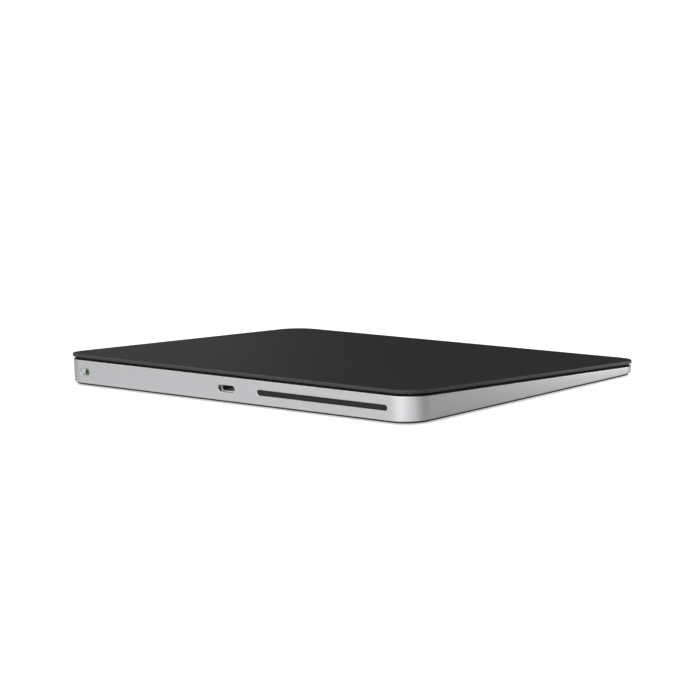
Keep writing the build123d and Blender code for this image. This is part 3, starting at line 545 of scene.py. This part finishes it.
def laminate_material(name, tones, line_tone, pad_tone, pitch, pad_share, roughness, **plain):
    """Board or film: drifting base tone, buried lines and bare metal pads."""
    material, tree, shader, place = new_material(name)
    tone = use_group(
        tree, tone_drift, place,
        {"Scale": 90.0, "First": (*tones[0], 1), "Second": (*tones[1], 1)},
    )
    pattern = use_group(tree, line_lattice, place, {"Pitch": pitch, "Pad share": pad_share})
    texture = use_group(
        tree, fine_grain, place,
        {
            "Stretch": (1, 1, 1), "Grain scale": 2500.0, "Strength": 0.15,
            "Height": 0.01 * mm,
            "Smooth roughness": roughness[0], "Coarse roughness": roughness[1],
        },
    )
    lined = tree.nodes.new("ShaderNodeMix")
    lined.data_type = "RGBA"
    lined.inputs["B"].default_value = (*line_tone, 1)
    padded = tree.nodes.new("ShaderNodeMix")
    padded.data_type = "RGBA"
    padded.inputs["B"].default_value = (*pad_tone, 1)
    raised = tree.nodes.new("ShaderNodeBump")
    raised.inputs["Strength"].default_value = 0.3
    raised.inputs["Distance"].default_value = 0.03 * mm
    link = tree.links.new
    link(pattern.outputs["Lines"], lined.inputs["Factor"])
    link(tone.outputs["Color"], lined.inputs["A"])
    link(pattern.outputs["Pads"], padded.inputs["Factor"])
    link(lined.outputs["Result"], padded.inputs["A"])
    link(padded.outputs["Result"], shader.inputs["Base Color"])
    link(pattern.outputs["Pads"], shader.inputs["Metallic"])
    link(pattern.outputs["Lines"], raised.inputs["Height"])
    link(texture.outputs["Normal"], raised.inputs["Normal"])
    link(raised.outputs["Normal"], shader.inputs["Normal"])
    link(texture.outputs["Roughness"], shader.inputs["Roughness"])
    set_plain(shader, plain)
    return material


circuit_board = laminate_material(
    "circuit_board", ((0.012, 0.075, 0.035), (0.020, 0.100, 0.050)),
    (0.035, 0.150, 0.075), (0.80, 0.62, 0.30), (0.9 * mm, 0.9 * mm, 0.9 * mm), 0.16,
    (0.28, 0.40),
)
flex_polyimide = laminate_material(
    "flex_polyimide", ((0.30, 0.125, 0.030), (0.38, 0.165, 0.045)),
    (0.48, 0.23, 0.08), (0.80, 0.62, 0.30), (0.5 * mm, 0.5 * mm, 0.5 * mm), 0.0,
    (0.24, 0.36), Coat_Weight=0.3,
)


# Glass and frame

def glass_loops():
    """Outlines of the glass from its chamfered underside up to its rounded top."""
    sections = [(glass_edge_chamfer, glass_thickness), (0.0, glass_thickness - glass_edge_chamfer)]
    for step in range(round_steps + 1):
        turn = pi / 2 * step / round_steps
        sections.append(
            (glass_edge_round * (1 - cos(turn)), glass_edge_round * (1 - sin(turn)))
        )
    loops = []
    for inset, below in sections:
        outline = rounded_outline(width / 2 - inset, depth / 2 - inset, corner_radius - inset)
        loops.append([(x, y, surface_height(y, below)) for x, y in outline])
    return loops


glass_top = loft("glass_plate", glass_loops())
finish_piece(glass_top, glass_coating, "touch_glass", "touch_surface", "glass_top")
# Faces other than the flat top get the glass edge material, whose lighter tone is painted sheen.
glass_top.data.materials.append(glass_edge_painted_sheen)
for face in glass_top.data.polygons:
    face.material_index = int(face.normal.z < flat_normal_share)


def frame_loops():
    """Outlines round the frame's wall: up the outer face and down the inner one."""
    bottom = frame_low.z
    turns = [pi / 2 * step / round_steps for step in range(round_steps + 1)]
    loops = []
    for turn in turns:
        inset = frame_edge_round * (1 - sin(turn))
        rise = frame_edge_round * (1 - cos(turn))
        loops.append([(x, y, bottom + rise) for x, y in frame_outline(inset)])
    for turn in turns:
        inset = frame_edge_round * (1 - cos(turn))
        below = rim_below + frame_edge_round * (1 - sin(turn))
        loops.append([(x, y, surface_height(y, below)) for x, y in frame_outline(inset)])
    inner = frame_outline(wall_thickness)
    loops.append([(x, y, surface_height(y, rim_below)) for x, y in inner])
    loops.append([(x, y, bottom) for x, y in inner])
    return loops


def opening_cutter(name, x, length, height, chamfer):
    """Cutter for one opening, whose mouth flares by the chamfer."""
    sections = (
        (rear_face + overrun, chamfer + overrun),
        (rear_face - chamfer, 0.0),
        (rear_face - wall_thickness - overrun, 0.0),
    )
    loops = []
    for y, growth in sections:
        loops.append(rear_loop(slot_outline(length, height, growth), x, y))
    return loft(name, loops)


def block_between(name, x_low, x_high, y_low, y_high, level_low, level_high):
    """Block with upright sides, whose bottom and top levels may depend on y."""
    corners = ((x_low, y_low), (x_high, y_low), (x_high, y_high), (x_low, y_high))
    loops = [[(x, y, level(y)) for x, y in corners] for level in (level_low, level_high)]
    return loft(name, loops)


def add_ledges(enclosure):
    """Ledges in the corners, parallel to the glass, that carry the spring leaves."""
    outer_x = frame_high.x - wall_thickness / 2
    for side in (-1, 1):
        x_low, x_high = sorted((side * ledge_inner_x, side * outer_x))
        for end in (-1, 1):
            middle = end * ledge_y
            slab = block_between(
                "ledge", x_low, x_high, middle - ledge_depth / 2, middle + ledge_depth / 2,
                lambda y: max(frame_low.z, surface_height(y, ledge_below + ledge_thickness)),
                lambda y: surface_height(y, ledge_below),
            )
            boolean(enclosure, slab, "UNION")


def lug_loops(x, y, angle):
    """Tongue with a round end at its screw place, rooted in the wall behind it."""
    half = lug_width / 2
    root = -lug_reach - wall_thickness / 2
    outline = [(-half, root), (half, root)]
    for step in range(hole_steps + 1):
        turn = pi * step / hole_steps
        outline.append((half * cos(turn), half * sin(turn)))
    points = [
        (x + px * cos(angle) - py * sin(angle), y + px * sin(angle) + py * cos(angle))
        for px, py in outline
    ]
    return [[(px, py, z) for px, py in points] for z in (chassis_top, chassis_top + lug_thickness)]


def hole_cutter(x, y):
    """Cutter for a screw hole through a lug."""
    loops = []
    for z in (chassis_top - overrun, chassis_top + lug_thickness + overrun):
        loops.append(ring(x, y, z, lug_hole_radius, hole_steps))
    return loft("hole_cutter", loops)


def add_lugs(enclosure):
    """A lug with a hole where each screw of the chassis plate ends."""
    for low, high in loose_boxes("chassis_screws"):
        x, y = (low.x + high.x) / 2, (low.y + high.y) / 2
        if abs(x) > frame_high.x - 2 * lug_width:
            angle = pi / 2 if x > 0 else -pi / 2
        else:
            angle = pi if y > 0 else 0.0
        boolean(enclosure, loft("lug", lug_loops(x, y, angle)), "UNION")
        boolean(enclosure, hole_cutter(x, y), "DIFFERENCE")


enclosure = loft("wedge_frame", frame_loops(), closed=True)
add_ledges(enclosure)
add_lugs(enclosure)
for name, x, length, height, chamfer in (
    ("window_cutter", window_x, window_length, window_height, opening_chamfer),
    ("port_cutter", 0.0, port_width, port_height, port_chamfer),
    ("switch_cutter", switch_x, switch_slot_length, switch_slot_height, opening_chamfer),
):
    boolean(enclosure, opening_cutter(name, x, length, height, chamfer), "DIFFERENCE")
finish_piece(enclosure, blasted_aluminium, "anodised_aluminium", "case", "enclosure_frame")


def make_window():
    """Plastic insert with a softened edge, and its flange behind the wall."""
    back = rear_face - wall_thickness
    turns = [pi / 2 * step / round_steps for step in range(round_steps + 1)]
    sections = []
    for turn in turns:
        inset = window_edge_round * (1 - sin(turn)) + window_joint
        sections.append((rear_face - window_edge_round * (1 - cos(turn)), -inset))
    sections += [
        (back, -window_joint),
        (back, window_flange),
        (back - window_flange_thickness, window_flange),
    ]
    loops = []
    for y, growth in sections:
        loops.append(rear_loop(slot_outline(window_length, window_height, growth), window_x, y))
    return loft("window_insert", loops)


finish_piece(make_window(), window_plastic, "black_plastic", "case", "antenna_window")


def make_knob():
    """Knob with a rounded rim and a finger groove, and the stem that goes inside."""
    low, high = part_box("switch_knob")
    length, height = high.x - low.x, high.z - low.z
    x = (low.x + high.x) / 2
    outer = rear_face - knob_recess
    cap = [rear_loop(slot_outline(length, height), x, outer - knob_thickness)]
    for step in range(round_steps + 1):
        turn = pi / 2 * step / round_steps
        inset = knob_edge_round * (1 - cos(turn))
        y = outer - knob_edge_round * (1 - sin(turn))
        cap.append(rear_loop(slot_outline(length, height, -inset), x, y))
    for y in (outer, outer - groove_depth):
        cap.append(rear_loop(slot_outline(groove_length, groove_height), x, y))
    half_x, half_z = stem_length / 2, stem_height / 2
    square = [(half_x, half_z), (-half_x, half_z), (-half_x, -half_z), (half_x, -half_z)]
    front = rear_face - wall_thickness - knob_clearance
    stem = [rear_loop(square, x, y) for y in (front, outer - knob_thickness + stem_overlap)]

    def build(bm):
        add_loops(bm, cap)
        add_loops(bm, stem)

    return mesh_object("slider_knob", build)


finish_piece(make_knob(), blasted_aluminium, "anodised_aluminium", "power_slider", "switch_knob")


def make_feet():
    """Round rubber feet with a rounded rim and two fine grooves in the sole."""
    profile = [(foot_radius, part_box("foot_rear_left")[1].z)]
    for step in range(round_steps + 1):
        turn = pi / 2 * step / round_steps
        profile.append(
            (
                foot_radius - foot_edge_round * (1 - cos(turn)),
                foot_edge_round * (1 - sin(turn)),
            )
        )
    for radius in reversed(foot_rib_radii):
        profile += [
            (radius + foot_rib_width, 0.0),
            (radius, foot_rib_depth),
            (radius - foot_rib_width, 0.0),
        ]

    def build(bm):
        for name in foot_names:
            low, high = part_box(name)
            x, y = (low.x + high.x) / 2, (low.y + high.y) / 2
            add_loops(bm, [ring(x, y, z, radius, foot_steps) for radius, z in profile])

    return mesh_object("rubber_feet", build)


finish_piece(make_feet(), foot_rubber, "foot_rubber", "case", *foot_names)


# Repeated pieces

def new_tree(name, sockets):
    """Geometry tree with named inputs, and the node that reads them."""
    tree = bpy.data.node_groups.new(name, "GeometryNodeTree")
    tree.interface.new_socket("Geometry", in_out="INPUT", socket_type="NodeSocketGeometry")
    for socket, kind in sockets.items():
        tree.interface.new_socket(socket, in_out="INPUT", socket_type=f"NodeSocket{kind}")
    tree.interface.new_socket("Geometry", in_out="OUTPUT", socket_type="NodeSocketGeometry")
    start = tree.nodes.new("NodeGroupInput")
    return tree, start.outputs


def end_tree(tree, geometry, material):
    """Close a tree with real geometry and the material that it reads."""
    realise = tree.nodes.new("GeometryNodeRealizeInstances")
    finish = tree.nodes.new("GeometryNodeSetMaterial")
    end = tree.nodes.new("NodeGroupOutput")
    tree.links.new(geometry, realise.inputs[0])
    tree.links.new(realise.outputs[0], finish.inputs["Geometry"])
    tree.links.new(material, finish.inputs["Material"])
    tree.links.new(finish.outputs[0], end.inputs[0])


def grow(name, points, tree, values):
    """Plain mesh that a tree makes from a few starting points."""
    mesh = bpy.data.meshes.new(name)
    mesh.from_pydata(points, [], [])
    piece = bpy.data.objects.new(name, mesh)
    bpy.context.scene.collection.objects.link(piece)
    modifier = piece.modifiers.new(name, "NODES")
    modifier.node_group = tree
    for item in tree.interface.items_tree:
        if item.in_out == "INPUT" and item.name in values:
            modifier[item.identifier] = values[item.name]
    apply_modifiers(piece)
    bm = bmesh.new()
    bm.from_mesh(piece.data)
    bmesh.ops.recalc_face_normals(bm, faces=bm.faces)
    bm.to_mesh(piece.data)
    bm.free()
    return piece


def make_screw_tree():
    """Screws with a six-sided socket, one on each starting point, head upwards."""
    tree, given = new_tree(
        "screw_set",
        {
            "Head radius": "Float", "Seat radius": "Float", "Head height": "Float",
            "Shank radius": "Float", "Reach": "Float", "Socket radius": "Float",
            "Socket depth": "Float", "Turn": "Vector", "Material": "Material",
        },
    )
    link = tree.links.new

    def cone(sides, bottom, top, height):
        node = tree.nodes.new("GeometryNodeMeshCone")
        node.inputs["Vertices"].default_value = sides
        link(bottom, node.inputs["Radius Bottom"])
        link(top, node.inputs["Radius Top"])
        link(height, node.inputs["Depth"])
        return node.outputs["Mesh"]

    def moved(mesh, height):
        place = tree.nodes.new("ShaderNodeCombineXYZ")
        shift = tree.nodes.new("GeometryNodeTransform")
        link(height, place.inputs["Z"])
        link(mesh, shift.inputs["Geometry"])
        link(place.outputs[0], shift.inputs["Translation"])
        return shift.outputs[0]

    def subtract(first, second):
        node = tree.nodes.new("ShaderNodeMath")
        node.operation = "SUBTRACT"
        link(first, node.inputs[0])
        link(second, node.inputs[1])
        return node.outputs[0]

    head = cone(screw_steps, given["Seat radius"], given["Head radius"], given["Head height"])
    socket = cone(6, given["Socket radius"], given["Socket radius"], given["Head height"])
    socket = moved(socket, subtract(given["Head height"], given["Socket depth"]))
    cut = tree.nodes.new("GeometryNodeMeshBoolean")
    cut.operation = "DIFFERENCE"
    link(head, cut.inputs["Mesh 1"])
    link(socket, cut.inputs["Mesh 2"])
    none = tree.nodes.new("ShaderNodeValue")
    none.outputs[0].default_value = 0.0
    shank = cone(screw_steps, given["Shank radius"], given["Shank radius"], given["Reach"])
    shank = moved(shank, subtract(none.outputs[0], given["Reach"]))
    join = tree.nodes.new("GeometryNodeJoinGeometry")
    link(cut.outputs[0], join.inputs[0])
    link(shank, join.inputs[0])
    spread = tree.nodes.new("GeometryNodeInstanceOnPoints")
    link(given["Geometry"], spread.inputs["Points"])
    link(join.outputs[0], spread.inputs["Instance"])
    link(given["Turn"], spread.inputs["Rotation"])
    end_tree(tree, spread.outputs[0], given["Material"])
    return tree


def make_coil_tree():
    """Turns of wire side by side, each a rounded loop round the core's middle leg."""
    tree, given = new_tree(
        "coil_winding",
        {
            "Width": "Float", "Height": "Float", "Corner": "Float", "Wire radius": "Float",
            "Turns": "Int", "First": "Vector", "Pitch": "Vector", "Material": "Material",
        },
    )
    link = tree.links.new
    outline = tree.nodes.new("GeometryNodeCurvePrimitiveQuadrilateral")
    link(given["Width"], outline.inputs["Width"])
    link(given["Height"], outline.inputs["Height"])
    fillet = tree.nodes.new("GeometryNodeFilletCurve")
    fillet.mode = "POLY"
    fillet.inputs["Count"].default_value = 4
    link(outline.outputs[0], fillet.inputs["Curve"])
    link(given["Corner"], fillet.inputs["Radius"])
    wire = tree.nodes.new("GeometryNodeCurvePrimitiveCircle")
    wire.inputs["Resolution"].default_value = 6
    link(given["Wire radius"], wire.inputs["Radius"])
    loop = tree.nodes.new("GeometryNodeCurveToMesh")
    link(fillet.outputs[0], loop.inputs["Curve"])
    link(wire.outputs[0], loop.inputs["Profile Curve"])
    turn = tree.nodes.new("GeometryNodeTransform")
    turn.inputs["Rotation"].default_value = (pi / 2, 0, pi / 2)
    link(loop.outputs[0], turn.inputs["Geometry"])
    row = tree.nodes.new("GeometryNodeMeshLine")
    link(given["Turns"], row.inputs["Count"])
    link(given["First"], row.inputs["Start Location"])
    link(given["Pitch"], row.inputs["Offset"])
    spread = tree.nodes.new("GeometryNodeInstanceOnPoints")
    link(row.outputs[0], spread.inputs["Points"])
    link(turn.outputs[0], spread.inputs["Instance"])
    end_tree(tree, spread.outputs[0], given["Material"])
    return tree


screw_steps = 20
screw_head_radius = 1.15 * mm
screw_seat_radius = 1.05 * mm
screw_head_height = 0.4 * mm
screw_shank_radius = 0.6 * mm
socket_radius = 0.5 * mm
socket_depth = 0.22 * mm
screw_tree = make_screw_tree()


def make_screws(node_name, body, seat_radius=screw_seat_radius, heads_down=False, lean=0.0):
    """Screws in the places of a node's solids, upright or leaning with the glass."""
    places = []
    for low, high in loose_boxes(node_name):
        middle_x = (low.x + high.x) / 2
        if heads_down:
            seat_y = low.y + screw_head_radius * cos(lean)
            seat_z = low.z + screw_head_height * cos(lean) + screw_head_radius * sin(lean)
            reach = (high.z - seat_z - screw_shank_radius * sin(lean)) / cos(lean)
        else:
            seat_y = (low.y + high.y) / 2
            seat_z = high.z - screw_head_height
            reach = seat_z - low.z
        places.append((middle_x, seat_y, seat_z))
    screws = grow(
        f"{node_name}_set", places, screw_tree,
        {
            "Head radius": screw_head_radius, "Seat radius": seat_radius,
            "Head height": screw_head_height, "Shank radius": screw_shank_radius,
            "Reach": reach, "Socket radius": socket_radius, "Socket depth": socket_depth,
            "Turn": (pi + lean, 0.0, 0.0) if heads_down else (0.0, 0.0, 0.0),
            "Material": screw_steel,
        },
    )
    return finish_piece(screws, screw_steel, "screw_steel", body, node_name)


for node_name in ("actuator_screws", "board_screws", "port_screws", "switch_bracket_screw"):
    make_screws(node_name, "case")
make_screws("chassis_screws", "case", screw_shank_radius, heads_down=True)
make_screws("flexure_screws", "touch_surface", heads_down=True, lean=atan(slope))


wire_radius = 0.16 * mm
coil_corner = 0.5 * mm
bore_half_width = 2.75 * mm
bore_half_height = 0.8 * mm


def make_coil():
    """Copper winding on a plain sleeve, both in the place of the coil's solid."""
    low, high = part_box("actuator_coil")
    middle = (low + high) / 2
    width, height = high.y - low.y, high.z - low.z
    turns = int((high.x - low.x) / (2 * wire_radius))
    pitch = (high.x - low.x - 2 * wire_radius) / (turns - 1)
    winding = grow(
        "coil_winding", [], make_coil_tree(),
        {
            "Width": width - 2 * wire_radius, "Height": height - 2 * wire_radius,
            "Corner": coil_corner, "Wire radius": wire_radius, "Turns": turns,
            "First": (low.x + wire_radius, middle.y, middle.z), "Pitch": (pitch, 0.0, 0.0),
            "Material": enamelled_copper,
        },
    )
    finish_piece(winding, enamelled_copper, "copper_winding", "case", "actuator_coil")
    outer_y, outer_z = width / 2 - 2 * wire_radius, height / 2 - 2 * wire_radius
    loops = []
    for x, half_y, half_z in (
        (low.x, bore_half_width, bore_half_height), (low.x, outer_y, outer_z),
        (high.x, outer_y, outer_z), (high.x, bore_half_width, bore_half_height),
    ):
        corners = ((half_y, half_z), (-half_y, half_z), (-half_y, -half_z), (half_y, -half_z))
        loops.append([(x, middle.y + y, middle.z + z) for y, z in corners])
    sleeve = loft("coil_sleeve", loops, closed=True)
    finish_piece(sleeve, enamelled_copper, "copper_winding", "case")


make_coil()


# Materials of the CAD pieces that keep their shape

slot_materials = {
    "seal_rubber": seal_rubber,
    "black_plastic": window_plastic,
    "cover_plastic": cover_plastic,
    "green_plastic": green_plastic,
    "light_plastic": light_plastic,
    "adhesive": adhesive_film,
    "stamped_steel": stamped_steel,
    "spring_steel": spring_steel,
    "soft_iron": soft_iron,
    "stiffener_aluminium": stiffener_aluminium,
    "circuit_board": circuit_board,
    "chip_epoxy": chip_epoxy,
    "flex_polyimide": flex_polyimide,
    "cell_foil": cell_foil,
    "gel": soft_gel,
    "contact_gold": contact_gold,
}
for node_name, node in nodes.items():
    slot = node_slots[node_name]
    if slot in slot_materials:
        node.material_slots[0].material = slot_materials[slot]


# Camera

def make_camera():
    """Camera in the place and turn that the photograph was taken from."""
    towards = Vector(
        (
            sin(camera_azimuth) * cos(camera_elevation),
            -cos(camera_azimuth) * cos(camera_elevation),
            sin(camera_elevation),
        )
    )
    camera = bpy.data.objects.new("camera", bpy.data.cameras.new("camera"))
    turn = towards.to_track_quat("Z", "Y").to_matrix().to_4x4()
    place = Matrix.Translation(camera_target + towards * camera_distance)
    camera.matrix_world = place @ turn @ Matrix.Rotation(camera_roll, 4, "Z")
    camera.data.lens = camera_lens
    camera.data.sensor_width = camera_sensor
    camera.data.clip_start = camera_near
    camera.data.clip_end = camera_far
    bpy.context.scene.collection.objects.link(camera)
    bpy.context.scene.camera = camera


make_camera()


# Floor, world and lamps

floor_size = 60.0
floor_tone = 0.6
backdrop_tone = 0.95
near_lift = 0.55
far_lift = 1.0
lift_start = 0.10
lift_end = 0.60
world_light = 0.37
rear_wall = 2.4
rear_wall_start = -0.20
rear_wall_end = 0.60
ceiling = 0.39
ceiling_start = 0.10
ceiling_end = 0.95


def either(tree, first, second):
    """The larger of two masks."""
    node = tree.nodes.new("ShaderNodeMath")
    node.operation = "MAXIMUM"
    tree.links.new(first, node.inputs[0])
    tree.links.new(second, node.inputs[1])
    return node.outputs[0]


def seen_directly(tree):
    """One where a surface is seen straight or through glass, and one in reflections."""
    path = tree.nodes.new("ShaderNodeLightPath")
    straight = either(tree, path.outputs["Is Camera Ray"], path.outputs["Is Transmission Ray"])
    return straight, path.outputs["Is Glossy Ray"]


def make_floor():
    """Pale floor that fades to white away from the object, and keeps the object's shadow."""
    half = floor_size / 2
    corners = ((-half, -half, 0), (half, -half, 0), (half, half, 0), (-half, half, 0))

    def build(bm):
        bm.faces.new([bm.verts.new(corner) for corner in corners])

    floor = mesh_object("floor", build)
    material, tree, shader, place = new_material("pale_floor")
    shader.inputs["Roughness"].default_value = 0.9
    shader.inputs["Specular IOR Level"].default_value = 0.0
    shader.inputs["Emission Color"].default_value = (1, 1, 1, 1)
    straight = seen_directly(tree)[0]
    tone = tree.nodes.new("ShaderNodeMix")
    tone.data_type = "RGBA"
    tone.inputs["A"].default_value = (floor_tone, floor_tone, floor_tone, 1)
    tone.inputs["B"].default_value = (backdrop_tone, backdrop_tone, backdrop_tone, 1)
    away = tree.nodes.new("ShaderNodeVectorMath")
    away.operation = "LENGTH"
    fade = tree.nodes.new("ShaderNodeMapRange")
    fade.interpolation_type = "SMOOTHSTEP"
    fade.inputs["From Min"].default_value = lift_start
    fade.inputs["From Max"].default_value = lift_end
    fade.inputs["To Min"].default_value = near_lift
    fade.inputs["To Max"].default_value = far_lift
    lift = tree.nodes.new("ShaderNodeMath")
    lift.operation = "MULTIPLY"
    link = tree.links.new
    link(straight, tone.inputs["Factor"])
    link(tone.outputs["Result"], shader.inputs["Base Color"])
    link(place, away.inputs[0])
    link(away.outputs["Value"], fade.inputs["Value"])
    link(fade.outputs["Result"], lift.inputs[0])
    link(straight, lift.inputs[1])
    link(lift.outputs[0], shader.inputs["Emission Strength"])
    floor.data.materials.append(material)


make_floor()


def make_world():
    """White studio in which a bright rear wall and a dim ceiling show in reflections."""
    world = bpy.data.worlds.new("studio")
    bpy.context.scene.world = world
    world.use_nodes = True
    tree = world.node_tree
    tree.nodes.clear()
    output = tree.nodes.new("ShaderNodeOutputWorld")
    background = tree.nodes.new("ShaderNodeBackground")
    background.inputs["Color"].default_value = (1, 1, 1, 1)
    direction = tree.nodes.new("ShaderNodeTexCoord")
    parts = tree.nodes.new("ShaderNodeSeparateXYZ")
    rise = tree.nodes.new("ShaderNodeMapRange")
    rise.interpolation_type = "SMOOTHSTEP"
    rise.inputs["From Min"].default_value = ceiling_start
    rise.inputs["From Max"].default_value = ceiling_end
    rise.inputs["To Max"].default_value = ceiling
    turn = tree.nodes.new("ShaderNodeMapRange")
    turn.interpolation_type = "SMOOTHSTEP"
    turn.inputs["From Min"].default_value = rear_wall_start
    turn.inputs["From Max"].default_value = rear_wall_end
    turn.inputs["To Max"].default_value = rear_wall
    wall = tree.nodes.new("ShaderNodeMath")
    wall.operation = "ADD"
    glossy = tree.nodes.new("ShaderNodeMix")
    glossy.inputs["A"].default_value = 1.0
    direct = tree.nodes.new("ShaderNodeMix")
    direct.inputs["A"].default_value = world_light
    straight, reflected = seen_directly(tree)
    link = tree.links.new
    link(direction.outputs["Generated"], parts.inputs["Vector"])
    link(parts.outputs["Z"], rise.inputs["Value"])
    link(parts.outputs["Y"], turn.inputs["Value"])
    link(rise.outputs["Result"], wall.inputs[0])
    link(turn.outputs["Result"], wall.inputs[1])
    link(reflected, glossy.inputs["Factor"])
    link(wall.outputs[0], glossy.inputs["B"])
    link(either(tree, straight, reflected), direct.inputs["Factor"])
    link(glossy.outputs["Result"], direct.inputs["B"])
    link(direct.outputs["Result"], background.inputs["Strength"])
    link(background.outputs["Background"], output.inputs["Surface"])


make_world()


def add_lamp(name, place, target, size, power):
    """Soft panel at a place, turned to its target."""
    lamp = bpy.data.lights.new(name, "AREA")
    lamp.shape = "RECTANGLE"
    lamp.size, lamp.size_y = size
    lamp.energy = power
    holder = bpy.data.objects.new(name, lamp)
    place = Vector(place)
    holder.location = place
    holder.rotation_euler = (place - Vector(target)).to_track_quat("Z", "Y").to_euler()
    bpy.context.scene.collection.objects.link(holder)


add_lamp("overhead_panel", (0.0, 0.15, 1.4), (0.0, 0.0, 0.0), (1.6, 1.6), 8.5)
add_lamp("rear_panel", (-0.055, 0.32, 0.10), (-0.06, 0.05, 0.0), (0.22, 0.14), 0.30)
add_lamp("corner_panel", (-0.22, 0.42, 0.10), (-0.07, 0.05, 0.0), (0.30, 0.16), 0.12)
add_lamp("side_panel", (-0.135, -0.105, 0.025), (-0.08, -0.04, 0.0), (0.05, 0.03), 0.05)
add_lamp("left_panel", (0.32, -0.16, 0.12), (0.03, 0.0, 0.0), (0.20, 0.12), 0.05)

bpy.context.scene.view_settings.view_transform = "Standard"
